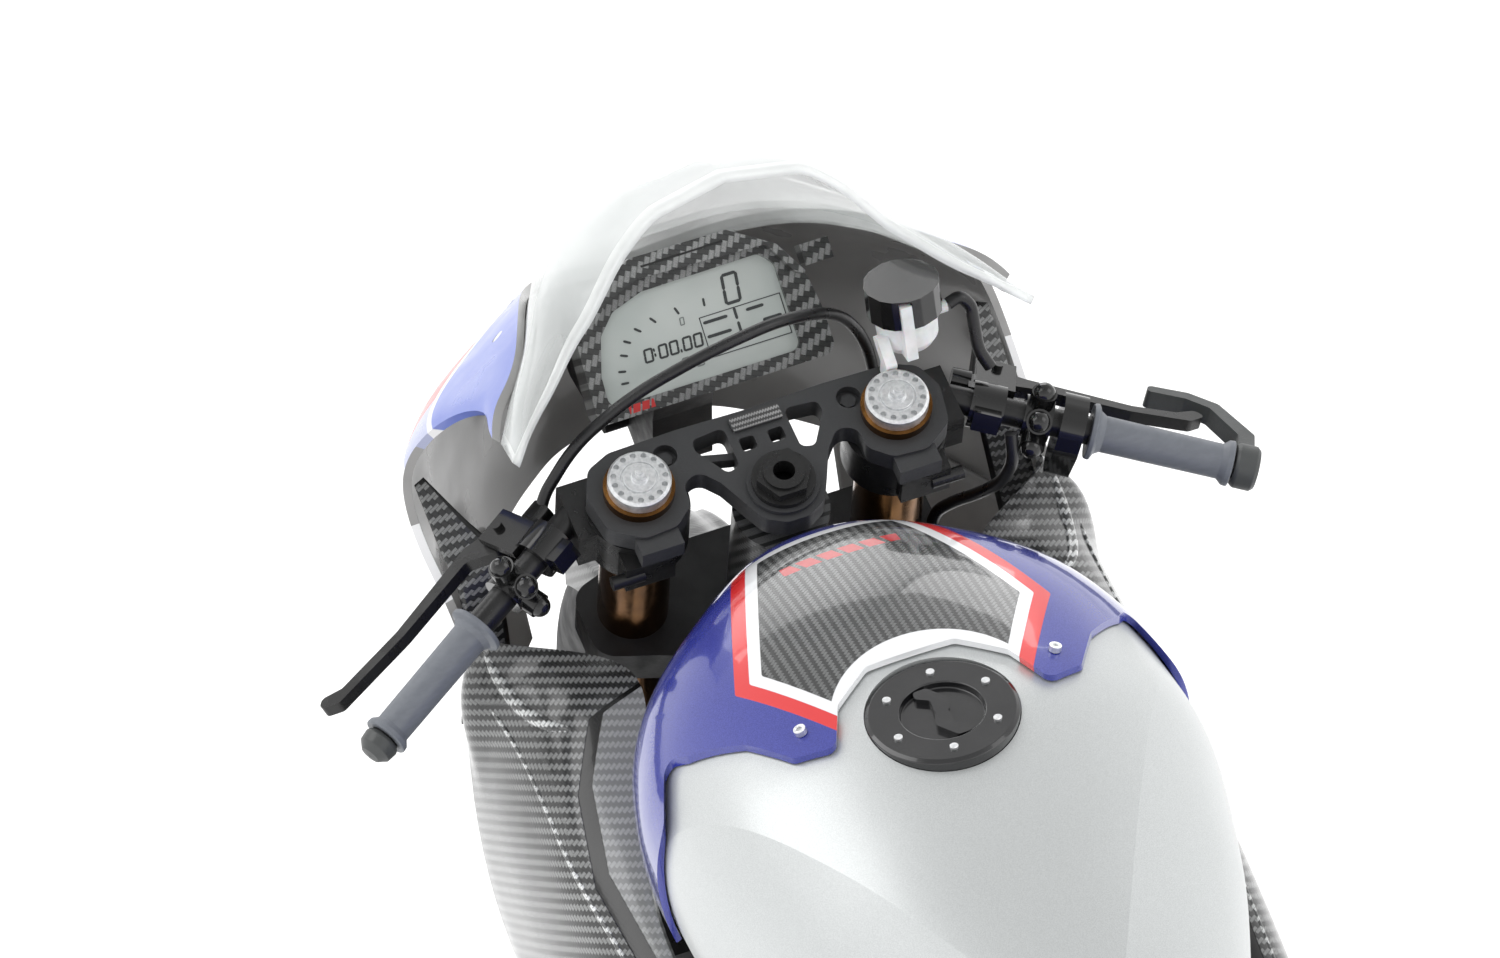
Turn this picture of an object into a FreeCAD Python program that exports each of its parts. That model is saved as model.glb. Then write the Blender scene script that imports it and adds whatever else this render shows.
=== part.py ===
"""A one-fifth scale radio-controlled racing motorcycle, as a parametric FreeCAD document.

Frame: +Y is forward, +X is the rider's right, +Z is up, millimetres. The origin is on the ground,
midway between the front of the front tyre and the back of the rear tyre.
"""
import FreeCAD, Part
import math
import os

Vector = FreeCAD.Vector
Rotation = FreeCAD.Rotation
Placement = FreeCAD.Placement
doc = FreeCAD.newDocument("rc_motorcycle")
sheet = doc.addObject("Spreadsheet::Sheet", "dims")


# ---------------------------------------------------------------- driving dimensions

class Dim:
    """A size that keeps both its number and the spreadsheet expression it comes from."""

    def __init__(self, text, value):
        self.text = text
        self.value = value

    def _with(self, other, sign, result):
        text = other.text if isinstance(other, Dim) else repr(float(other))
        return Dim(f"({self.text} {sign} {text})", result)

    def __add__(self, other):
        return self._with(other, "+", self.value + float(other))

    def __sub__(self, other):
        return self._with(other, "-", self.value - float(other))

    def __mul__(self, other):
        return self._with(other, "*", self.value * float(other))

    def __truediv__(self, other):
        return self._with(other, "/", self.value / float(other))

    def __float__(self):
        return float(self.value)


DIMENSIONS = {
    "wheelbase": 288.0,
    "front_axle_y": 147.0,
    "front_wheel_rad": 60.0,
    "front_tyre_width": 24.0,
    "rear_wheel_rad": 66.0,
    "rear_tyre_width": 40.0,
    "rim_rad": 43.4,
    "rake_angle": 24.5,
    "trail": 20.4,
    "fork_offset": 6.3,
    "fork_half_gap": 21.0,
    "fork_tube_dia": 11.0,
    "fork_leg_dia": 8.6,
    "clamp_thickness": 4.0,
    "cap_dia": 9.8,
    "cap_holes": 15.0,
    "bar_dia": 4.4,
    "grip_dia": 5.7,
    "grip_length": 22.5,
    "lever_thickness": 2.0,
    "pivot_pin_dia": 1.6,
    "axle_dia": 5.0,
    "disc_thickness": 1.0,
    "panel_thickness": 1.4,
    "screen_thickness": 1.5,
    "spar_thickness": 4.0,
    "hose_dia": 2.0,
    "cable_dia": 1.9,
    "sprocket_thickness": 1.2,
    "chain_width": 3.2,
    "running_gap": 0.05,
    "screw_head_dia": 1.9,
}
for row, (alias, number) in enumerate(DIMENSIONS.items(), start=1):
    sheet.set(f"A{row}", alias)
    sheet.set(f"B{row}", str(number))
    sheet.setAlias(f"B{row}", alias)
doc.recompute()
D = {alias: Dim(f"dims.{alias}", float(sheet.get(alias))) for alias in DIMENSIONS}


# ---------------------------------------------------------------- frames of reference

WORLD = Placement()
RAKE = float(D["rake_angle"])
FRONT_AXLE = Vector(0, float(D["front_axle_y"]), float(D["front_wheel_rad"]))
REAR_AXLE = Vector(0, float(D["front_axle_y"]) - float(D["wheelbase"]), float(D["rear_wheel_rad"]))
SWING_PIVOT = Vector(0, -25, 80)
# Steering frame: its Z is the steering axis, measured from the ground, and its Y is towards the front wheel.
STEER = Placement(Vector(0, float(D["front_axle_y"] + D["trail"]), 0), Rotation(Vector(1, 0, 0), RAKE))
FORK_X = float(D["fork_half_gap"])
FORK_Y = float(D["fork_offset"])
TOP_CLAMP_S = 195.0
LOW_CLAMP_S = 157.0
CAP_TOP_S = 203.0
LINK_ARM = 14.0
SERVO_BACK = 44.0
AXLE_S = (FRONT_AXLE.z - math.sin(math.radians(RAKE)) * FORK_Y) / math.cos(math.radians(RAKE))
# Side frame: sketch X is world Y, sketch Y is world Z, and a pad grows towards +X.
SIDE_TURN = Rotation(Vector(1, 1, 1), 120)


def frame_from(origin, z_axis, x_axis):
    """A placement whose Z and X point along the given directions of the steering frame."""
    z_axis = Vector(z_axis).normalize()
    x_axis = Vector(x_axis)
    x_axis = (x_axis - z_axis * x_axis.dot(z_axis)).normalize()
    y_axis = z_axis.cross(x_axis)
    return Placement(Vector(origin), Rotation(x_axis, y_axis, z_axis, "ZXY"))


# Handlebar frame on the right: Z runs out along the bar, X forward, Y up.
BAR_START = Vector(30, 9.7, 192.5)
BAR_DIRECTION = Vector(0.851, -0.499, -0.15)
BAR = STEER.multiply(frame_from(BAR_START, BAR_DIRECTION, Vector(0.5, 0.852, 0)))
# The levers hang 30 degrees below the bar's own plane.
CONTROL = BAR.multiply(Placement(Vector(), Rotation(Vector(0, 0, 1), -30)))
GRIP_AT = 23.5
TURN = {
    "z": Rotation(),
    "x": Rotation(Vector(0, 1, 0), 90),
    "y": Rotation(Vector(1, 0, 0), -90),
}


def at(frame, x, y, z, axis="z"):
    return frame.multiply(Placement(Vector(x, y, z), TURN[axis]))


# ---------------------------------------------------------------- document helpers

NODES = []


def bind(item, prop, size):
    if isinstance(size, Dim):
        item.setExpression(prop, size.text)
    else:
        setattr(item, prop, size)


def primitive(kind, place, **sizes):
    item = doc.addObject(f"Part::{kind}", kind.lower())
    for prop, size in sizes.items():
        bind(item, prop, size)
    item.Placement = place
    return item


def cylinder(place, radius, height):
    return primitive("Cylinder", place, Radius=radius, Height=height)


def sphere(place, radius):
    return primitive("Sphere", place, Radius=radius)


def box(frame, low, high):
    """A block between two corners of the frame."""
    item = primitive("Box", at(frame, *low), Length=high[0] - low[0], Width=high[1] - low[1],
                     Height=high[2] - low[2])
    return item


def fuse(*items):
    joined = doc.addObject("Part::MultiFuse", "fuse")
    joined.Shapes = list(items)
    joined.Refine = True
    return joined


def cut(base, *tools):
    result = doc.addObject("Part::Cut", "cut")
    result.Base = base
    result.Tool = tools[0] if len(tools) == 1 else fuse(*tools)
    return result


def mirrored(item):
    other = doc.addObject("Part::Mirroring", "mirror")
    other.Source = item
    other.Normal = Vector(1, 0, 0)
    return other


def group(*items):
    """Several separate solids kept together in one node."""
    together = doc.addObject("Part::Compound", "group")
    together.Links = list(items)
    return together


def pair(item):
    return group(item, mirrored(item))


def rounded(points, radius, keep_axis=False):
    """Edges of a closed outline whose corners are rounded with tangent arcs, as large as fits.

    With keep_axis, corners on the line x = 0 stay sharp, because the outline is turned about it.
    """
    points = [Vector(p[0], p[1], 0) for p in points]
    count = len(points)
    ends = []
    edges = []
    for i, corner in enumerate(points):
        before = points[i - 1] - corner
        after = points[(i + 1) % count] - corner
        if keep_axis and abs(corner.x) < 1e-6:
            ends.append((corner, None, corner))
            continue
        half = before.getAngle(after) / 2
        reach = min(radius / math.tan(half), 0.45 * before.Length, 0.45 * after.Length)
        fitted = reach * math.tan(half)
        start = corner + before.normalize() * reach
        end = corner + after.normalize() * reach
        middle = corner + (before + after).normalize() * (fitted / math.sin(half) - fitted)
        ends.append((start, middle, end))
    for i, (start, middle, end) in enumerate(ends):
        following = ends[(i + 1) % count][0]
        if middle is not None:
            edges.append(Part.Arc(start, middle, end))
        edges.append(Part.LineSegment(end, following))
    return edges


def circle(x, y, radius):
    return [Part.Circle(Vector(x, y, 0), Vector(0, 0, 1), radius)]


def sketch(place, *loops):
    item = doc.addObject("Sketcher::SketchObject", "sketch")
    item.Placement = place
    for loop in loops:
        item.addGeometry(loop, False)
    return item


def plate(place, loops, thickness):
    """A flat piece: a sketch with its holes, extruded along the sketch's normal."""
    item = doc.addObject("Part::Extrusion", "plate")
    item.Base = sketch(place, *loops)
    item.DirMode = "Normal"
    item.Solid = True
    bind(item, "LengthFwd", thickness)
    return item


def lathe(place, profile, radius=0.15):
    """A turned piece: a closed outline of (radius, height) points revolved about the frame's Z."""
    upright = place.multiply(Placement(Vector(), Rotation(Vector(1, 0, 0), 90)))
    item = doc.addObject("Part::Revolution", "lathe")
    item.Source = sketch(upright, rounded(profile, radius, keep_axis=True))
    item.Axis = place.Rotation.multVec(Vector(0, 0, 1))
    item.Base = place.Base
    item.Angle = 360
    item.Solid = True
    return item


def feature(shape):
    item = doc.addObject("Part::Feature", "shape")
    item.Shape = shape
    return item


def node(label, item):
    item.Label = label
    NODES.append(item)
    return item


# ---------------------------------------------------------------- free-form panels

def spline(knots, t):
    """A smooth curve through (t, value) knots, read at t, with no overshoot between them."""
    knots = sorted(knots)
    if t <= knots[0][0]:
        return knots[0][1]
    if t >= knots[-1][0]:
        return knots[-1][1]
    slopes = [(b[1] - a[1]) / (b[0] - a[0]) for a, b in zip(knots, knots[1:])]
    tangents = [slopes[0]]
    for a, b in zip(slopes, slopes[1:]):
        tangents.append(0.0 if a * b <= 0 else 2 * a * b / (a + b))
    tangents.append(slopes[-1])
    i = max(k for k in range(len(knots) - 1) if knots[k][0] <= t)
    width = knots[i + 1][0] - knots[i][0]
    u = (t - knots[i][0]) / width
    return (knots[i][1] * (1 + 2 * u) * (1 - u) ** 2 + knots[i + 1][1] * u * u * (3 - 2 * u)
            + width * (tangents[i] * u * (1 - u) ** 2 - tangents[i + 1] * u * u * (1 - u)))


def lofted(sections, along, across):
    """A grid through sections (y, [(x, z), ...]) that never bulges past them between stations."""
    stations = [y for y, _ in sections]
    rows = []
    for k in range(along):
        y = stations[0] + (stations[-1] - stations[0]) * k / (along - 1)
        row = []
        for i in range(len(sections[0][1])):
            x = spline([(station, points[i][0]) for station, points in sections], y)
            z = spline([(station, points[i][1]) for station, points in sections], y)
            row.append(Vector(x, y, z))
        rows.append(resample(row, across))
    return rows


def surface_through(rows):
    surface = Part.BSplineSurface()
    surface.interpolate([[Vector(p) for p in row] for row in rows])
    return surface


def solid_between(outer, inner):
    """A closed solid between two surfaces that have the same edges in parameter space."""
    u0, u1, v0, v1 = outer.bounds()
    s0, s1, t0, t1 = inner.bounds()
    rims = [
        (outer.uIso(u0), inner.uIso(s0)),
        (outer.uIso(u1), inner.uIso(s1)),
        (outer.vIso(v0), inner.vIso(t0)),
        (outer.vIso(v1), inner.vIso(t1)),
    ]
    faces = [outer.toShape(), inner.toShape()]
    faces += [Part.makeRuledSurface(a.toShape(), b.toShape()) for a, b in rims]
    shell = Part.makeShell(faces)
    shell.sewShape()
    solid = Part.Solid(Part.Shell(shell.Faces))
    if solid.Volume < 0:
        solid.reverse()
    solid.fix(0.001, 0.001, 0.01)
    return solid


def panel(rows, thickness, side=1):
    """A thin curved panel: the rows are its outer face, and side says which way its thickness goes."""
    outer = surface_through(rows)
    inner_rows = []
    for i in range(len(rows)):
        inner_row = []
        for j in range(len(rows[i])):
            along = Vector(rows[min(i + 1, len(rows) - 1)][j]) - Vector(rows[max(i - 1, 0)][j])
            across = Vector(rows[i][min(j + 1, len(rows[i]) - 1)]) - Vector(rows[i][max(j - 1, 0)])
            normal = along.cross(across).normalize() * side
            inner_row.append(Vector(rows[i][j]) - normal * float(thickness))
        inner_rows.append(inner_row)
    return solid_between(outer, surface_through(inner_rows))


def resample(row, count):
    """The same number of evenly spaced points along a smooth curve through a row of points."""
    curve = Part.BSplineCurve()
    curve.interpolate([Vector(p) for p in row])
    return curve.discretize(count)


# ---------------------------------------------------------------- wheels and suspension

def wheel(axle, radius, tyre_width, rim_width, hub_half, bearing_rad):
    """Tyre and rim about an axle that runs along X. Returns the two pieces."""
    across = Placement(axle, TURN["x"])
    rim_rad = D["rim_rad"]
    half_tyre = tyre_width / 2
    tyre = cut(
        primitive("Torus", across, Radius1=radius - half_tyre, Radius2=half_tyre),
        cylinder(at(across, 0, 0, -40), rim_rad, 80),
    )
    half = rim_width / 2
    outer = float(rim_rad)
    profile = [
        (outer, -half), (outer, half), (outer - 2.0, half), (outer - 3.2, half - 2.0),
        (outer - 4.6, 2.5), (outer - 4.6, -2.5), (outer - 3.2, 2.0 - half), (outer - 2.0, -half),
    ]
    barrel = lathe(across, profile, 0.6)
    hub = lathe(across, [(bearing_rad, -hub_half), (8.0, -hub_half), (9.5, -5), (9.5, 5), (8.0, hub_half),
                         (bearing_rad, hub_half)], 0.2)
    spokes = []
    for k in range(10):
        angle = 36 * k + (9 if k % 2 else -9)
        turned = across.multiply(Placement(Vector(), Rotation(Vector(0, 0, 1), angle)))
        spokes.append(box(turned, (8.0, -1.5, -2.6), (outer - 3.8, 1.5, 2.6)))
    rim = fuse(barrel, hub, *spokes)
    return tyre, rim


def disc(axle, x, outer_rad, inner_rad, holes):
    """A brake disc about the axle, centred on x, with a ring of cooling holes."""
    across = Placement(axle + Vector(x, 0, 0), TURN["x"])
    loops = [circle(0, 0, outer_rad), circle(0, 0, inner_rad)]
    ring = (outer_rad + inner_rad) / 2 + 1.5
    for k in range(holes):
        angle = 2 * math.pi * k / holes
        spread = 1.8 if k % 2 else -1.8
        loops.append(circle((ring + spread) * math.cos(angle), (ring + spread) * math.sin(angle), 0.7))
    return plate(at(across, 0, 0, -float(D["disc_thickness"]) / 2), loops, D["disc_thickness"])


def build_front_wheel():
    bearing = float(D["axle_dia"]) / 2 + float(D["running_gap"])
    tyre, rim = wheel(FRONT_AXLE, D["front_wheel_rad"], D["front_tyre_width"], 21.0, 13.0, bearing)
    node("front_tyre", tyre)
    node("front_rim", rim)
    node("front_brake_discs", pair(disc(FRONT_AXLE, 13.5, 31.0, 6.2, 28)))


def build_fork_lower():
    """What slides under the fork's outer tubes: legs, axle, calipers and the mudguard."""
    leg_top = 150.0
    foot_low = AXLE_S - 6
    leg = cylinder(at(STEER, FORK_X, FORK_Y, foot_low + 8), D["fork_leg_dia"] / 2, leg_top - foot_low - 8)
    foot = cylinder(at(STEER, FORK_X, FORK_Y, foot_low), 5.4, 20)
    lug = box(STEER, (FORK_X - 2.6, FORK_Y + 3, 76), (FORK_X + 2.0, FORK_Y + 11, 80))
    bore = cylinder(Placement(FRONT_AXLE + Vector(-40, 0, 0), TURN["x"]), D["axle_dia"] / 2, 80)
    node("fork_legs", pair(cut(fuse(leg, foot, lug), bore)))
    axle_frame = Placement(FRONT_AXLE, TURN["x"])
    rod = cylinder(at(axle_frame, 0, 0, -28), D["axle_dia"] / 2, 56)
    head = cylinder(at(axle_frame, 0, 0, 27), 4.0, 2.5)
    nut = cylinder(at(axle_frame, 0, 0, -29.5), 4.0, 2.5)
    hollow = cylinder(at(axle_frame, 0, 0, -40), 1.5, 80)
    spacer_right = cylinder(at(axle_frame, 0, 0, 13.2), 3.6, 2.3)
    spacer_left = cylinder(at(axle_frame, 0, 0, -15.5), 3.6, 2.3)
    node("front_axle", cut(fuse(rod, head, nut, spacer_left, spacer_right), hollow))
    # Each caliper straddles its disc behind the leg.
    caliper_frame = STEER.multiply(Placement(Vector(13.5, FORK_Y - 19, AXLE_S + 21), Rotation()))
    body = box(caliper_frame, (-1.6, -5, -9), (9.0, 7, 9))
    slot = box(caliper_frame, (-0.9, -6, -10), (0.9, 8, 10))
    arm = box(caliper_frame, (5.2, 6, -5), (9.0, 15.5, 5))
    leg_clear = cylinder(at(STEER, FORK_X, FORK_Y, 50), D["fork_leg_dia"] / 2, 80)
    bolts = [cylinder(at(caliper_frame, 8.5, y, z, "x"), 1.4, 1.2) for y, z in ((-2.5, -6), (-2.5, 6),
            (4, 0))]
    node("front_calipers", pair(cut(fuse(body, arm, *bolts), slot, leg_clear)))
    build_front_fender()


def build_front_fender():
    """A thin guard over the tyre, from ahead of it to well behind it."""
    rows = []
    first, last = 62.0, 172.0
    for k in range(12):
        angle = math.radians(first + (last - first) * k / 11)
        lift = 62.4 + 0.8 * math.sin(math.radians(180 * k / 11))
        row = []
        for j in range(9):
            side = -1 + 2 * j / 8
            reach = 13.6 * side
            drop = 9.5 * abs(side) ** 2.6
            radius = lift + 2.4 - drop
            row.append(Vector(reach, FRONT_AXLE.y + radius * math.cos(angle),
                              FRONT_AXLE.z + radius * math.sin(angle)))
        rows.append(row)
    guard = panel(rows, 1.2)
    node("front_fender", feature(guard))


def build_steering():
    """Clamps, stem, fork outer tubes and caps."""
    half_outline = [(0, 14.2), (12, 14.5), (23, 14.2), (27, 12.4), (28.9, 8), (27.8, 1.5), (23, -1.8),
                    (17.6, -1.4),
                    (14.3, 1.5), (14.3, 5.2), (11.3, 6.4), (8.8, 3.4), (6.6, -1.4), (4.9, -4.8), (1.8, -6.6)]
    outline = half_outline + [(-x, y) for x, y in reversed(half_outline[1:])]
    windows = []
    for side in (-1, 1):
        large = [(4.9, 12.4), (10.3, 11.9), (10.4, 9.9), (7.1, 4.6), (5.0, 5.2)]
        small = [(1.1, 7.3), (1.1, 9.6), (3.5, 9.7), (3.6, 7.3)]
        windows.append(rounded([(side * x, y) for x, y in large], 1.1))
        windows.append(rounded([(side * x, y) for x, y in small], 0.5))
    strut = plate(at(STEER, 0, 0, TOP_CLAMP_S), [rounded([(-10.6, 8.9), (-4.6, 7.4), (-4.6, 8.6),
                                                          (-10.6, 10.2)], 0.3)], 2.2)
    fork_holes = [circle(side * FORK_X, FORK_Y, float(D["fork_tube_dia"]) / 2) for side in (-1, 1)]
    stem_hole = circle(0, 0, 3.6)
    top_place = at(STEER, 0, 0, TOP_CLAMP_S)
    slab = plate(top_place, [rounded(outline, 2.6), *windows, *fork_holes, stem_hole], D["clamp_thickness"])
    collar_seat = cylinder(at(STEER, 0, 0, TOP_CLAMP_S + float(D["clamp_thickness"])), 5.6, 0.8)
    stem_bore = cylinder(at(STEER, 0, 0, TOP_CLAMP_S - 5), 3.6, 12)
    pinch = [box(STEER, (side * FORK_X - 3.4, -4.2, TOP_CLAMP_S),
                 (side * FORK_X + 3.4, -1, TOP_CLAMP_S + 3.4))
             for side in (-1, 1)]
    tubes = [cylinder(at(STEER, side * FORK_X, FORK_Y, TOP_CLAMP_S - 5), D["fork_tube_dia"] / 2, 12)
             for side in (-1, 1)]
    plaque = plate(at(STEER, 0.3, 12.1, TOP_CLAMP_S + float(D["clamp_thickness"]) - 0.05), [rounded(
        [(-4.2, -1.35), (4.2, -1.35), (4.2, 1.35), (-4.2, 1.35)], 0.7)], 0.55)
    recess_screws = [primitive("Prism", at(STEER, side * 15.0, 10.8, TOP_CLAMP_S + 2.3), Circumradius=1.3,
                               Height=0.7,
                               Polygon=6) for side in (-1, 1)]
    recesses = [cylinder(at(STEER, side * 15.0, 10.8, TOP_CLAMP_S + 2.4), 1.9, 3) for side in (-1, 1)]
    body = cut(fuse(slab, collar_seat, plaque, *pinch), stem_bore, *tubes, *recesses)
    node("upper_clamp", fuse(body, strut, *recess_screws))

    low_outline = [(-29, 12), (-20, 15), (20, 15), (29, 12), (29, 0), (20, -3), (8, -8), (-8, -8), (-20, -3),
                   (-29, 0)]
    low_slab = plate(at(STEER, 0, 0, LOW_CLAMP_S), [rounded(low_outline, 4), *fork_holes], 7.0)
    stem = cylinder(at(STEER, 0, 0, LOW_CLAMP_S + 7), 3.6, TOP_CLAMP_S + 2.5 - LOW_CLAMP_S - 7)
    link_post = cylinder(at(STEER, LINK_ARM, 0, LOW_CLAMP_S - 9), 1.2, 9.1)
    node("lower_clamp", fuse(low_slab, stem, link_post))

    nut = fuse(
        primitive("Prism", at(STEER, 0, 0, TOP_CLAMP_S + 5.0), Circumradius=4.4, Height=2.4, Polygon=6),
        cylinder(at(STEER, 0, 0, TOP_CLAMP_S + 4.8), 4.9, 1.0),
        cylinder(at(STEER, 0, 0, TOP_CLAMP_S + 7.2), 3.2, 0.7),
    )
    node("stem_nut", cut(nut, cylinder(at(STEER, 0, 0, TOP_CLAMP_S + 4), 1.7, 6)))

    outer = cylinder(at(STEER, FORK_X, FORK_Y, 104), D["fork_tube_dia"] / 2, CAP_TOP_S - 2.4 - 104)
    seal = cylinder(at(STEER, FORK_X, FORK_Y, 104), 6.2, 5)
    bore = cylinder(at(STEER, FORK_X, FORK_Y, 100), D["fork_leg_dia"] / 2 + D["running_gap"], 92)
    node("fork_outer_tubes", pair(cut(fuse(outer, seal), bore)))
    build_fork_caps()


def build_fork_caps():
    """Turned caps with a ring of small blind holes and an adjuster in the middle."""
    cap_rad = float(D["cap_dia"]) / 2
    base = at(STEER, FORK_X, FORK_Y, CAP_TOP_S - 2.4)
    cap = lathe(base, [(0, 0), (cap_rad, 0), (cap_rad, 2.0), (cap_rad - 0.4, 2.4), (2.9, 2.4), (2.8, 2.1),
                       (2.6, 2.1), (2.5, 2.5), (1.35, 2.5), (1.3, 3.3), (0, 3.3)], 0.08)
    knob = fuse(
        primitive("Prism", at(base, 0, 0, 3.2), Circumradius=1.25, Height=1.0, Polygon=6),
        cylinder(at(base, 0, 0, 4.1), 0.75, 0.7),
    )
    holes = []
    count = int(float(D["cap_holes"]))
    for k in range(count):
        angle = 2 * math.pi * k / count
        holes.append(cylinder(at(base, 3.95 * math.cos(angle), 3.95 * math.sin(angle), 1.4), 0.45, 2))
    node("fork_caps", pair(cut(fuse(cap, knob), *holes)))


# ---------------------------------------------------------------- handlebars

def build_handlebars():
    fork_ring = cylinder(at(STEER, FORK_X, FORK_Y, 186.6), 8.0, 8.2)
    lug = box(STEER, (FORK_X + 3.5, FORK_Y - 2.6, 187.2), (31.5, FORK_Y + 7.4, 194.6))
    tube_clear = cylinder(at(STEER, FORK_X, FORK_Y, 180), D["fork_tube_dia"] / 2, 20)
    bar = cylinder(BAR, D["bar_dia"] / 2, 47.5)
    pinch_bolt = cylinder(at(STEER, FORK_X + 2.5, FORK_Y - 9.2, 190.5, "x"), 1.1, 5.2)
    ear = box(STEER, (FORK_X - 2.5, FORK_Y - 9.6, 187.6), (FORK_X + 5.5, FORK_Y - 6, 193.6))
    node("clip_on_bars", pair(cut(fuse(fork_ring, lug, bar, ear, pinch_bolt), tube_clear)))

    grip_rad = float(D["grip_dia"]) / 2
    bar_rad = float(D["bar_dia"]) / 2
    length = float(D["grip_length"])

    def grip(bore):
        return lathe(at(BAR, 0, 0, GRIP_AT), [
            (bore, 0), (4.3, 0), (4.4, 0.8), (3.4, 1.3), (grip_rad, 2.2), (grip_rad - 0.1, length - 1.8),
            (3.5, length - 0.9), (3.6, length), (bore, length)], 0.25)

    node("left_grip", mirrored(grip(bar_rad)))
    node("throttle_grip", grip(bar_rad + float(D["running_gap"])))

    # Bar end plugs, the right one carrying the lever guard.
    end = GRIP_AT + length + 0.3
    plug = lathe(at(BAR, 0, 0, end), [(bar_rad, 0), (2.6, 0), (2.9, 0.6), (2.7, 2.2), (1.6, 3.3), (0, 3.5),
                                      (0, 1.8),
                                      (bar_rad, 1.8)], 0.3)
    fat_plug = lathe(at(BAR, 0, 0, end), [(bar_rad, 0), (3.1, 0), (3.5, 0.6), (3.5, 3.2), (3.0, 3.8),
                                          (0, 3.8),
                                          (0, 1.8), (bar_rad, 1.8)], 0.3)
    guard_place = CONTROL.multiply(Placement(Vector(0, -1.5, end + 0.5), Rotation(Vector(1, 0, 0), -90)))
    guard_outline = [(2.0, 0.0), (2.0, -2.6), (8.0, -2.6), (15.2, 3.2), (16.6, 8.0), (16.0, 14.5),
                     (14.2, 14.6),
                     (14.6, 8.4), (13.4, 4.6), (7.0, 0.0)]
    guard = plate(guard_place, [rounded(guard_outline, 1.2)], 3.0)
    node("bar_ends", group(mirrored(plug), cut(fuse(fat_plug, guard), cylinder(at(BAR, 0, 0, 30), 2.2,
            16.3 + 1.8))))

    build_controls()


def lever(reach, stand_off):
    """A control lever in the handlebar frame, squeezed towards the grip about a pin along Y."""
    far = stand_off
    blade = [(8.6, 5.4), (10.6, 7.4), (far + 0.6, 13.0), (far, 30.0), (far + 1.2, reach - 3.0),
             (far + 3.2, reach),
             (far + 2.0, reach + 1.6), (far - 0.4, reach - 0.6), (far - 1.8, 30.0), (far - 1.8, 15.0),
             (6.8, 11.4),
             (6.0, 7.0)]
    outline = [(x, -z) for x, z in blade]
    turned = CONTROL.multiply(Placement(Vector(0, -1.0, 0), Rotation(Vector(1, 0, 0), -90)))
    return plate(turned, [rounded(outline, 1.2)], D["lever_thickness"])


LEVER_PIN = Vector(8.2, 0, 8.2)


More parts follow.
